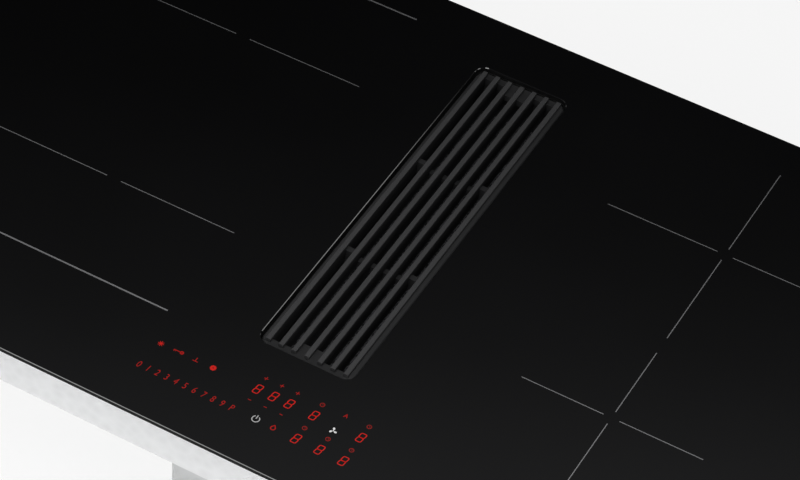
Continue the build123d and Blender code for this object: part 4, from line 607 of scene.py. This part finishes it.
def circuit_board():
    """Green solder mask over copper runs."""
    graph = Graph("circuit_board")
    runs = graph.add("ShaderNodeTexBrick")
    runs.inputs["Scale"].default_value = 90.0
    runs.inputs["Mortar Size"].default_value = 0.03
    graph.link(graph.place, runs.inputs["Vector"])
    graph.shade(graph.mix(runs.outputs["Fac"], (0.02, 0.12, 0.05), (0.05, 0.24, 0.1)))
    graph.rough(graph.span(graph.noise(scale=200.0), low=0.25, high=0.45))
    graph.bump(runs.outputs["Fac"], strength=0.3, depth=0.0001)
    return graph.material


def printed(name, colour):
    """Silvery ceramic print: satin lustre with a fine screen pattern."""
    graph = Graph(name)
    screen = graph.noise(scale=2500.0, detail=2)
    graph.shade(graph.blend(screen, scaled(colour, 0.9), scaled(colour, 1.05)))
    graph.set(roughness=0.22, metallic=0.95)
    return graph.material


def lit(name, colour, strength):
    """A lamp behind the glass: slightly uneven glow under the glossy surface."""
    graph = Graph(name)
    glow = graph.noise(scale=420.0, detail=2)
    colours = graph.blend(glow, scaled(colour, 0.8), colour)
    graph.shade(graph.blend(glow, scaled(colour, 0.06), scaled(colour, 0.1)))
    graph.link(colours, graph.shader.inputs["Emission Color"])
    graph.shader.inputs["Emission Strength"].default_value = strength
    graph.set(roughness=0.08, specular=0.5)
    return graph.material


def make_finishes():
    """One material for each of the record's material slots."""
    return {
        "black_glass": black_glass(),
        "seal_foam": rubbery("seal_foam", (0.03, 0.03, 0.03)),
        "silicone": rubbery("silicone", (0.05, 0.05, 0.05), grain=1500.0),
        "galvanised_steel": galvanised("galvanised_steel", (0.84, 0.845, 0.85)),
        "collar_plastic": moulded("collar_plastic", (0.006, 0.006, 0.006), roughness=0.6),
        "grille_iron": cast_enamel(),
        "filter_steel": sheet_metal("filter_steel", (0.05, 0.05, 0.052), roughness=0.4),
        "filter_aluminium": expanded_mesh(),
        "tray_plastic": moulded("tray_plastic", (0.03, 0.031, 0.033), roughness=0.35),
        "copper_litz": litz(),
        "coil_plastic": moulded("coil_plastic", (0.16, 0.16, 0.17), roughness=0.6),
        "ferrite": moulded("ferrite", (0.05, 0.05, 0.055), roughness=0.7, grain=700.0, variation=0.25),
        "insulation_felt": felt(),
        "spring_steel": sheet_metal("spring_steel", (0.5, 0.51, 0.53), roughness=0.25, stretch=(60, 60, 2)),
        "sheet_aluminium": sheet_metal("sheet_aluminium", (0.72, 0.73, 0.74)),
        "circuit_board": circuit_board(),
        "fan_plastic": moulded("fan_plastic", (0.03, 0.03, 0.032), roughness=0.45),
        "display_red": moulded("display_red", (0.06, 0.008, 0.008), roughness=0.2, grain=2000.0),
        "box_plastic": moulded("box_plastic", (0.70, 0.71, 0.71), grain=900.0, variation=0.03),
        "blower_plastic": moulded("blower_plastic", (0.09, 0.09, 0.095)),
        "motor_steel": moulded("motor_steel", (0.1, 0.1, 0.11), roughness=0.35, grain=500.0),
        "screw_steel": sheet_metal("screw_steel", (0.66, 0.66, 0.68), roughness=0.25, stretch=(40, 40, 4)),
        "terminal_plastic": moulded("terminal_plastic", (0.42, 0.43, 0.44), grain=900.0),
    }


def dress_nodes(finishes):
    """Gives every CAD node the finish of its slot, which its own material is named after."""
    for node in NODES.values():
        slot = node.data.materials[0].name.split(".")[0]
        for index in range(len(node.data.materials)):
            node.data.materials[index] = finishes[slot]


# ---------------------------------------------------------------------------------------------------------
# Outlines, in millimetres
# ---------------------------------------------------------------------------------------------------------


def rounded_rectangle(width, depth, radius, centre=(0.0, 0.0), steps=CORNER_STEPS):
    """A rectangle with round corners, counterclockwise from the upper end of its right side."""
    points = []
    for quarter, (side_x, side_y) in enumerate(((1, 1), (-1, 1), (-1, -1), (1, -1))):
        for step in range(steps + 1):
            angle = (quarter + step / steps) * pi / 2
            x = centre[0] + side_x * (width / 2 - radius) + radius * cos(angle)
            y = centre[1] + side_y * (depth / 2 - radius) + radius * sin(angle)
            points.append((x, y))
    return points


def rectangle(x, y, width, depth):
    """A rectangle round its middle."""
    return [
        (x - width / 2, y - depth / 2),
        (x + width / 2, y - depth / 2),
        (x + width / 2, y + depth / 2),
        (x - width / 2, y + depth / 2),
    ]


def stroke(start, end, width):
    """A straight stroke with pointed ends."""
    run = Vector(end) - Vector(start)
    along = run.normalized() * (width / 2)
    across = Vector((-along.y, along.x))
    first, last = Vector(start), Vector(end)
    return [
        tuple(first - along),
        tuple(first + across * -1),
        tuple(last + across * -1),
        tuple(last + along),
        tuple(last + across),
        tuple(first + across),
    ]


def arc_strip(x, y, radius, width, start, end, steps=ARC_STEPS):
    """Four-cornered tiles along an arc between two angles in degrees."""
    tiles = []
    for step in range(steps):
        angles = [radians(start + (end - start) * (step + side) / steps) for side in (0, 1)]
        inner, outer = radius - width / 2, radius + width / 2
        tiles.append(
            [
                (x + inner * cos(angles[0]), y + inner * sin(angles[0])),
                (x + outer * cos(angles[0]), y + outer * sin(angles[0])),
                (x + outer * cos(angles[1]), y + outer * sin(angles[1])),
                (x + inner * cos(angles[1]), y + inner * sin(angles[1])),
            ]
        )
    return tiles


def tiled(inner, outer):
    """Four-cornered tiles between two outlines with the same number of points."""
    tiles = []
    for index in range(len(inner)):
        after = (index + 1) % len(inner)
        tiles.append([inner[index], outer[index], outer[after], inner[after]])
    return tiles


def disc(x, y, radius_x, radius_y, turn=0.0):
    """A round or oval disc, turned by an angle in radians."""
    points = []
    for step in range(DISC_STEPS):
        angle = 2 * pi * step / DISC_STEPS
        a, b = radius_x * cos(angle), radius_y * sin(angle)
        points.append((x + a * cos(turn) - b * sin(turn), y + a * sin(turn) + b * cos(turn)))
    return points


# ---------------------------------------------------------------------------------------------------------
# Glass
# ---------------------------------------------------------------------------------------------------------


def new_piece(name, mesh_data, material, body="housing"):
    """A piece of one material that rides on a body."""
    piece = bpy.data.objects.new(name, mesh_data)
    bpy.context.scene.collection.objects.link(piece)
    mesh_data.materials.append(material)
    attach(piece, body)
    return piece


def edge_profile():
    """Inset and height of each level of the glass edge, from its bottom to its top."""
    top = GLASS_TOP - GLASS_SKIN
    return [
        (LOWER_EDGE, GLASS_BOTTOM),
        (0.0, GLASS_BOTTOM + LOWER_EDGE),
        (0.0, top - GLASS_EDGE),
        (GLASS_EDGE, top),
    ]


def add_ring(mesh, points, z):
    """A ring of corners at one level, from points in millimetres."""
    return [mesh.verts.new((x * MM, y * MM, z * MM)) for x, y in points]


def join_rings(mesh, lower, upper, flip=False):
    """A wall between two rings with the same number of corners."""
    count = len(lower)
    for index in range(count):
        after = (index + 1) % count
        corners = [lower[index], lower[after], upper[after], upper[index]]
        mesh.faces.new(corners[::-1] if flip else corners)


def fill_between(mesh, outer, inner, normal):
    """A flat face between an outer ring and the ring of a hole in it."""
    edges = []
    for ring in (outer, inner):
        for index, corner in enumerate(ring):
            edges.append(mesh.edges.get((corner, ring[(index + 1) % len(ring)])))
    bmesh.ops.triangle_fill(mesh, use_beauty=True, edges=edges, normal=normal)


def shouldered(outline):
    """Adds a point close to each end of an outline's straight sides, so that these are shaded flat."""
    points = []
    per_corner = len(outline) // 4
    for start in range(0, len(outline), per_corner):
        arc = [Vector(point) for point in outline[start : start + per_corner]]
        before = Vector(outline[start - 1])
        after = Vector(outline[(start + per_corner) % len(outline)])
        points.append(arc[0] + (before - arc[0]).normalized() * SHOULDER)
        points += arc
        points.append(arc[-1] + (after - arc[-1]).normalized() * SHOULDER)
    return points


def make_glass(finish):
    """The glass with its opening: polished top and upper chamfer, ground sides and underside."""
    mesh = bmesh.new()
    outer_rings = []
    inner_rings = []
    for inset, z in edge_profile():
        outer = rounded_rectangle(GLASS_WIDTH - 2 * inset, GLASS_DEPTH - 2 * inset, GLASS_CORNER - inset)
        inner = rounded_rectangle(
            OPENING_WIDTH + 2 * inset, OPENING_LENGTH + 2 * inset, OPENING_CORNER + inset, (0.0, OPENING_Y)
        )
        outer_rings.append(add_ring(mesh, shouldered(outer), z))
        inner_rings.append(add_ring(mesh, shouldered(inner), z))
    for lower, upper in zip(outer_rings, outer_rings[1:]):
        join_rings(mesh, lower, upper)
    for lower, upper in zip(inner_rings, inner_rings[1:]):
        join_rings(mesh, lower, upper, flip=True)
    fill_between(mesh, outer_rings[-1], inner_rings[-1], Vector((0, 0, 1)))
    fill_between(mesh, outer_rings[0], inner_rings[0], Vector((0, 0, -1)))
    data = bpy.data.meshes.new("glass_top")
    mesh.to_mesh(data)
    mesh.free()
    for face in data.polygons:
        face.use_smooth = True
        face.material_index = 1 if face.normal.z < SLOPING else 0
    data.set_sharp_from_angle(angle=SHARP_ANGLE)
    glass = new_piece("glass_top", data, finish)
    data.materials.append(ground_glass())
    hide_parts("glass_plate")


# ---------------------------------------------------------------------------------------------------------
# Soft seals, pads and windings, each in the space of its CAD solid
# ---------------------------------------------------------------------------------------------------------


def node_frame(node):
    """Centre, width, depth, lowest and highest level of a node's box, in millimetres."""
    low, high = (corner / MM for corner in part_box(node))
    centre = ((low.x + high.x) / 2, (low.y + high.y) / 2)
    return centre, high.x - low.x, high.y - low.y, low.z, high.z


def run_counts(outline):
    """How many steps each side of an outline is divided into."""
    counts = []
    for index, start in enumerate(outline):
        end = outline[(index + 1) % len(outline)]
        counts.append(max(1, round((Vector(end) - Vector(start)).length / SOFT_STEP)))
    return counts


def divided(outline, counts):
    """An outline with that many steps on each of its sides."""
    points = []
    for index, (start, count) in enumerate(zip(outline, counts)):
        first, last = Vector(start), Vector(outline[(index + 1) % len(outline)])
        points += [first.lerp(last, part / count) for part in range(count)]
    return points


def squared(value):
    """Swells a circle's coordinate towards a square's."""
    return copysign(abs(value) ** SECTION_POWER, value)


def finished_soft(name, mesh, finish, nodes, body="housing"):
    """Turns a mesh into a smooth piece that stands for CAD nodes."""
    data = bpy.data.meshes.new(name)
    mesh.normal_update()
    mesh.to_mesh(data)
    mesh.free()
    for face in data.polygons:
        face.use_smooth = True
    piece = new_piece(name, data, finish, body)
    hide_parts(*nodes)
    return piece


def soft_strip(name, node, width, finish):
    """A soft strip laid as a closed frame, with rounded edges and a slightly uneven run."""
    centre, outer_width, outer_depth, low, high = node_frame(node)
    draw = random.Random(name)
    mesh = bmesh.new()
    rings = []
    counts = None
    unevenness = None
    for step in range(SECTION_POINTS):
        angle = 2 * pi * step / SECTION_POINTS
        inset = UNEVENNESS + (width / 2 - UNEVENNESS) * (1 - squared(cos(angle)))
        level = (low + high) / 2 + (high - low) / 2 * squared(sin(angle))
        radius = max(STRIP_CORNER - inset, SMALLEST_CORNER)
        size = (outer_width - 2 * inset, outer_depth - 2 * inset)
        outline = rounded_rectangle(*size, radius, centre, SOFT_CORNER_STEPS)
        counts = counts or run_counts(outline)
        points = divided(outline, counts)
        unevenness = unevenness or [draw.uniform(-UNEVENNESS, UNEVENNESS) for _ in points]
        shifted = [(x + shift, y + shift) for (x, y), shift in zip(points, unevenness)]
        rings.append(add_ring(mesh, shifted, level))
    for ring, after in zip(rings, rings[1:] + rings[:1]):
        join_rings(mesh, ring, after)
    return finished_soft(name, mesh, finish, [node])


def add_pad(mesh, centre, width, depth, radius, low, high, draw):
    """A closed pad with rounded edges and softly uneven faces."""
    half = min(width, depth) / 2
    edge = (high - low) * PAD_EDGE
    rise = (high - low) * PAD_RISE
    faces = [half * share for share in PAD_RINGS if half * share > edge]
    profile = [(inset, low) for inset in reversed(faces)]
    shoulder, drop = edge * PAD_SHOULDER_INSET, edge * PAD_SHOULDER_DROP
    profile += [(edge, low), (shoulder, low + drop), (0.0, (low + high) / 2)]
    profile += [(shoulder, high - drop), (edge, high)]
    profile += [(inset, high) for inset in faces]
    counts = run_counts(rounded_rectangle(width, depth, radius, centre, SOFT_CORNER_STEPS))
    rings = []
    for inset, level in profile:
        reach = max(radius - inset, min(radius, (half - inset) * PAD_INNER_CORNER))
        size = (width - 2 * inset, depth - 2 * inset)
        outline = rounded_rectangle(*size, reach, centre, SOFT_CORNER_STEPS)
        ring = add_ring(mesh, divided(outline, counts), level)
        if inset > edge:
            inwards = 1 if level == low else -1
            for corner in ring:
                corner.co.z += inwards * draw.uniform(0.0, rise) * MM
        rings.append(ring)
    for ring, after in zip(rings, rings[1:]):
        join_rings(mesh, ring, after)
    mesh.faces.new(rings[0][::-1])
    mesh.faces.new(rings[-1])


def make_felt_pads(finish):
    """One felt pad over each coil."""
    mesh = bmesh.new()
    draw = random.Random("felt")
    _, _, _, low, high = node_frame("coil_insulation_sheets")
    for name, radius in COIL_CORNERS.items():
        centre, width, depth, _, _ = node_frame("coil_winding_" + name)
        add_pad(mesh, centre, width, depth, radius, low, high, draw)
    pads = finished_soft("felt_pads", mesh, finish, ["coil_insulation_sheets"])


def make_grille_pads(finish):
    """Four pads that the grille rests on."""
    mesh = bmesh.new()
    draw = random.Random("pads")
    centre, width, depth, low, high = node_frame("grille_pads")
    for side_x in (-1, 1):
        for side_y in (-1, 1):
            x = centre[0] + side_x * (width - GRILLE_PAD_WIDTH) / 2
            y = centre[1] + side_y * (depth - GRILLE_PAD_LENGTH) / 2
            add_pad(mesh, (x, y), GRILLE_PAD_WIDTH, GRILLE_PAD_LENGTH, GRILLE_PAD_CORNER, low, high, draw)
    pads = finished_soft("grille_rests", mesh, finish, ["grille_pads"], "grille")


def spiral(centre, width, depth, radius):
    """A flat spiral from the outside in, through outlines that shrink by one pitch each turn."""
    turns = int(WINDING_BAND / LITZ_PITCH)
    counts = run_counts(rounded_rectangle(width, depth, radius, centre, COIL_CORNER_STEPS))
    outlines = []
    for turn in range(turns + 1):
        inset = LITZ_PITCH * (turn + 0.5) if turn < turns else LITZ_PITCH * (turns - 0.5)
        reach = max(radius - inset, SMALLEST_TURN)
        size = (width - 2 * inset, depth - 2 * inset)
        outline = rounded_rectangle(*size, reach, centre, COIL_CORNER_STEPS)
        outlines.append(divided(outline, counts))
    points = []
    for outline, after in zip(outlines, outlines[1:]):
        count = len(outline)
        points += [outline[index].lerp(after[index], index / count) for index in range(count)]
    return points


def make_winding(name, radius, finish):
    """One coil wound from a twisted bundle of strands."""
    node = "coil_winding_" + name
    centre, width, depth, low, high = node_frame(node)
    mesh = bmesh.new()
    path = spiral(centre, width, depth, radius)
    travel = 0.0
    rings = []
    for index, point in enumerate(path):
        before, after = path[max(index - 1, 0)], path[min(index + 1, len(path) - 1)]
        along = (after - before).normalized()
        across = Vector((along.y, -along.x))
        ring = []
        for side in range(2 * STRANDS):
            angle = pi * side / STRANDS + travel / TWIST_LENGTH * 2 * pi
            swell = 1.0 if side % 2 else STRAND_DIP
            shift = across * (LITZ_PITCH / 2 * swell * cos(angle))
            level = (low + high) / 2 + (high - low) / 2 * swell * sin(angle)
            ring.append(mesh.verts.new(Vector((point.x + shift.x, point.y + shift.y, level)) * MM))
        rings.append(ring)
        travel += (after - point).length
    for ring, after in zip(rings, rings[1:]):
        join_rings(mesh, ring, after, flip=True)
    mesh.faces.new(rings[0])
    mesh.faces.new(rings[-1][::-1])
    bmesh.ops.recalc_face_normals(mesh, faces=mesh.faces)
    finished_soft("winding_" + name, mesh, finish, [node])


def make_soft_pieces(finishes):
    """Seals, adhesive, pads and windings."""
    foam, silicone = finishes["seal_foam"], finishes["silicone"]
    soft_strip("worktop_foam", "worktop_seal", WORKTOP_STRIP, foam)
    soft_strip("collar_foam", "collar_seal", COLLAR_STRIP, foam)
    soft_strip("box_foam", "box_gasket", BOX_STRIP, foam)
    soft_strip("adhesive_bead", "glass_adhesive", ADHESIVE_STRIP, silicone)
    make_grille_pads(silicone)
    make_felt_pads(finishes["insulation_felt"])
    for name, radius in COIL_CORNERS.items():
        make_winding(name, radius, finishes["copper_litz"])


# ---------------------------------------------------------------------------------------------------------
# Printed marks and lit controls
# ---------------------------------------------------------------------------------------------------------


def flat_piece(name, polygons, material):
    """Flat marks on the glass, given from its middle and its front edge."""
    data = bpy.data.meshes.new(name)
    points = []
    faces = []
    for polygon in polygons:
        faces.append(tuple(range(len(points), len(points) + len(polygon))))
        points += [(x * MM, (FRONT_Y + y) * MM, (GLASS_TOP - PRINT_DROP) * MM) for x, y in polygon]
    data.from_pydata(points, [], faces)
    mesh = bmesh.new()
    mesh.from_mesh(data)
    for face in mesh.faces:
        if face.normal.z < 0:
            face.normal_flip()
    mesh.to_mesh(data)
    mesh.free()
    piece = new_piece(name, data, material)


def zone_marks():
    """The printed lines: the linked zones at the left and a cross for each zone at the right."""
    marks = []
    for y, width in ZONE_LINES:
        runs = [(ZONE_LEFT, ZONE_RIGHT)]
        if y in SPLIT_LINES:
            runs = [(ZONE_LEFT, ZONE_GAP[0]), (ZONE_GAP[1], ZONE_RIGHT)]
        marks += [rectangle((left + right) / 2, y, right - left, width) for left, right in runs]
    for y, reach in ((FRONT_CROSS_Y, FRONT_CROSS_REACH), (REAR_CROSS_Y, REAR_CROSS_REACH)):
        length = reach - CROSS_GAP
        middle = CROSS_GAP + length / 2
        for side in (-1, 1):
            marks.append(rectangle(CROSS_X + side * middle, y, length, THIN_LINE))
            marks.append(rectangle(CROSS_X, y + side * middle, THIN_LINE, length))
    return marks


def slanted(points, x, y):
    """Points of a sign drawn round its own centre, leaned to the right and set at x, y."""
    return [(x + a + b * DIGIT_SLANT, y + b) for a, b in points]


def eight(x, y):
    """A lit digit: two rounded loops, one on the other."""
    tiles = []
    for side in (-1, 1):
        loops = [
            rounded_rectangle(
                DIGIT_WIDTH + shift,
                DIGIT_HEIGHT / 2 + shift,
                DIGIT_CORNER + shift / 2,
                (0.0, side * DIGIT_HEIGHT / 4),
                DIGIT_STEPS,
            )
            for shift in (-DIGIT_STROKE, DIGIT_STROKE)
        ]
        tiles += [slanted(tile, x, y) for tile in tiled(*loops)]
    return tiles


def sign_marks():
    """A plus above and a minus below each timer digit."""
    marks = []
    half = SIGN_SIZE / 2
    length = half - SIGN_STROKE / 2
    for x, _ in TIMER_PLACES:
        marks.append(slanted(rectangle(0, 0, SIGN_SIZE, SIGN_STROKE), x, PLUS_Y))
        for side in (-1, 1):
            centre = side * (half + SIGN_STROKE / 2) / 2
            marks.append(slanted(rectangle(0, centre, SIGN_STROKE, length), x, PLUS_Y))
        marks.append(slanted(rectangle(0, 0, MINUS_SIZE, SIGN_STROKE), x, MINUS_Y))
    return marks


def auto_mark():
    """The letter A, in strokes."""
    x, y = AUTO_PLACE
    marks = [stroke(*line) for line in AUTO_STROKES]
    return [[(x + a * AUTO_SIZE, y + b * AUTO_SIZE) for a, b in mark] for mark in marks]


def bars(place, sizes):
    """Upright bars of a sign, given round its place."""
    return [rectangle(place[0] + x, place[1] + y, width, height) for x, y, width, height in sizes]


def key_marks():
    """A key: its ring, shaft and two teeth."""
    x, y, radius, width = KEY_RING
    ring = arc_strip(KEY_PLACE[0] + x, KEY_PLACE[1] + y, radius, width, 0, 360)
    return ring + bars(KEY_PLACE, KEY_BARS)


def block_marks():
    """An eight-sided ring, wide enough to look almost full."""
    start = 180 / BLOCK_SIDES
    return arc_strip(*BLOCK_PLACE, BLOCK_RADIUS, BLOCK_STROKE, start, start + 360, BLOCK_SIDES)


def star_marks():
    """A small sun: a disc with rays."""
    x, y = STAR_PLACE
    marks = [disc(x, y, STAR_DISC, STAR_DISC)]
    for ray in range(STAR_RAYS):
        turn = ray * 2 * pi / STAR_RAYS
        near = (x + STAR_RAY_START * cos(turn), y + STAR_RAY_START * sin(turn))
        far = (x + STAR_REACH * cos(turn), y + STAR_REACH * sin(turn))
        marks.append(stroke(near, far, STAR_STROKE))
    return marks


def drop_marks():
    """A drop: a round belly whose shoulders run up to a point."""
    x, y = DROP_PLACE
    marks = arc_strip(x, y - DROP_DIP, DROP_RADIUS, DROP_STROKE, *DROP_ARC)
    for side in (-1, 1):
        shoulder_x = x + side * DROP_RADIUS * cos(DROP_SHOULDER)
        shoulder_y = y - DROP_DIP + DROP_RADIUS * sin(DROP_SHOULDER)
        marks.append(stroke((shoulder_x, shoulder_y), (x, y + DROP_TIP), DROP_TIP_STROKE))
    return marks


def clock_marks():
    """A small clock face with two hands beside each zone digit."""
    marks = []
    for x, y in CLOCK_PLACES:
        marks += arc_strip(x, y, CLOCK_RADIUS, CLOCK_STROKE, 0, 360)
        marks += [stroke((x, y), (x + a, y + b), HAND_STROKE) for a, b in CLOCK_HANDS]
    return marks


def power_marks():
    """An open ring with a bar in its gap."""
    x, y = POWER_PLACE
    marks = arc_strip(x, y, POWER_RADIUS, POWER_STROKE, *POWER_ARC, steps=POWER_STEPS)
    return marks + [rectangle(x, y + POWER_BAR_RISE, POWER_STROKE, POWER_BAR_LENGTH)]


def fan_marks():
    """Three round blades that meet at the middle."""
    marks = []
    for degrees in FAN_TURNS:
        turn = radians(degrees)
        x = FAN_PLACE[0] + FAN_REACH * cos(turn)
        y = FAN_PLACE[1] + FAN_REACH * sin(turn)
        marks.append(disc(x, y, *FAN_BLADE, turn + FAN_BLADE_LEAN))
        marks.append(stroke(FAN_PLACE, (x, y), FAN_STEM))
    return marks


def scale_digits(material):
    """The row of power levels, set in Blender's own font."""
    for index, sign in enumerate(SCALE_DIGITS):
        curve = bpy.data.curves.new("level", "FONT")
        curve.body = sign
        curve.size = SCALE_HEIGHT * FONT_SCALE * MM
        curve.align_x = "CENTER"
        curve.align_y = "CENTER"
        curve.resolution_u = FONT_STEPS
        curve.shear = DIGIT_SLANT
        holder = bpy.data.objects.new("level", curve)
        bpy.context.scene.collection.objects.link(holder)
        bpy.context.view_layer.update()
        depsgraph = bpy.context.evaluated_depsgraph_get()
        data = bpy.data.meshes.new_from_object(holder.evaluated_get(depsgraph))
        bpy.data.objects.remove(holder)
        data.name = f"level_{sign}"
        x = SCALE_START + index * SCALE_PITCH
        place = Vector((x, FRONT_Y + SCALE_Y, GLASS_TOP - PRINT_DROP)) * MM
        data.transform(Matrix.Translation(place) @ Matrix.Diagonal((SCALE_NARROWING, 1.0, 1.0, 1.0)))
        data.materials.clear()
        piece = new_piece(f"level_{sign}", data, material)


def make_controls():
    """All marks on the glass, grouped by colour."""
    print_grey = printed("zone_print", (0.78, 0.78, 0.79))
    symbol_white = lit("symbol_white", (0.5, 0.5, 0.5), strength=0.8)
    fan_white = lit("fan_white", (0.75, 0.75, 0.75), strength=0.9)
    red = lit("led_red", (0.54, 0.012, 0.008), strength=0.95)
    scale_red = lit("scale_red", (0.36, 0.008, 0.006), strength=0.9)
    dull_red = lit("dull_red", (0.24, 0.009, 0.007), strength=0.9)
    flat_piece("zone_marks", zone_marks(), print_grey)
    digits = [segment for x, y in TIMER_PLACES + ZONE_DIGIT_PLACES for segment in eight(x, y)]
    flat_piece("digits", digits, red)
    flat_piece("bright_icons", block_marks() + star_marks(), red)
    icons = key_marks() + drop_marks() + auto_mark() + sign_marks() + bars(TEE_PLACE, TEE_BARS)
    flat_piece("icons", icons, scale_red)
    flat_piece("clocks", clock_marks(), dull_red)
    flat_piece("power_symbol", power_marks(), symbol_white)
    flat_piece("fan_symbol", fan_marks(), fan_white)
    scale_digits(scale_red)


# ---------------------------------------------------------------------------------------------------------
# Scene
# ---------------------------------------------------------------------------------------------------------


bpy.context.scene.view_settings.view_transform = "Standard"
make_camera()
make_lamps()
make_world()
make_floor()
finishes = make_finishes()
dress_nodes(finishes)
make_glass(finishes["black_glass"])
make_soft_pieces(finishes)
make_controls()
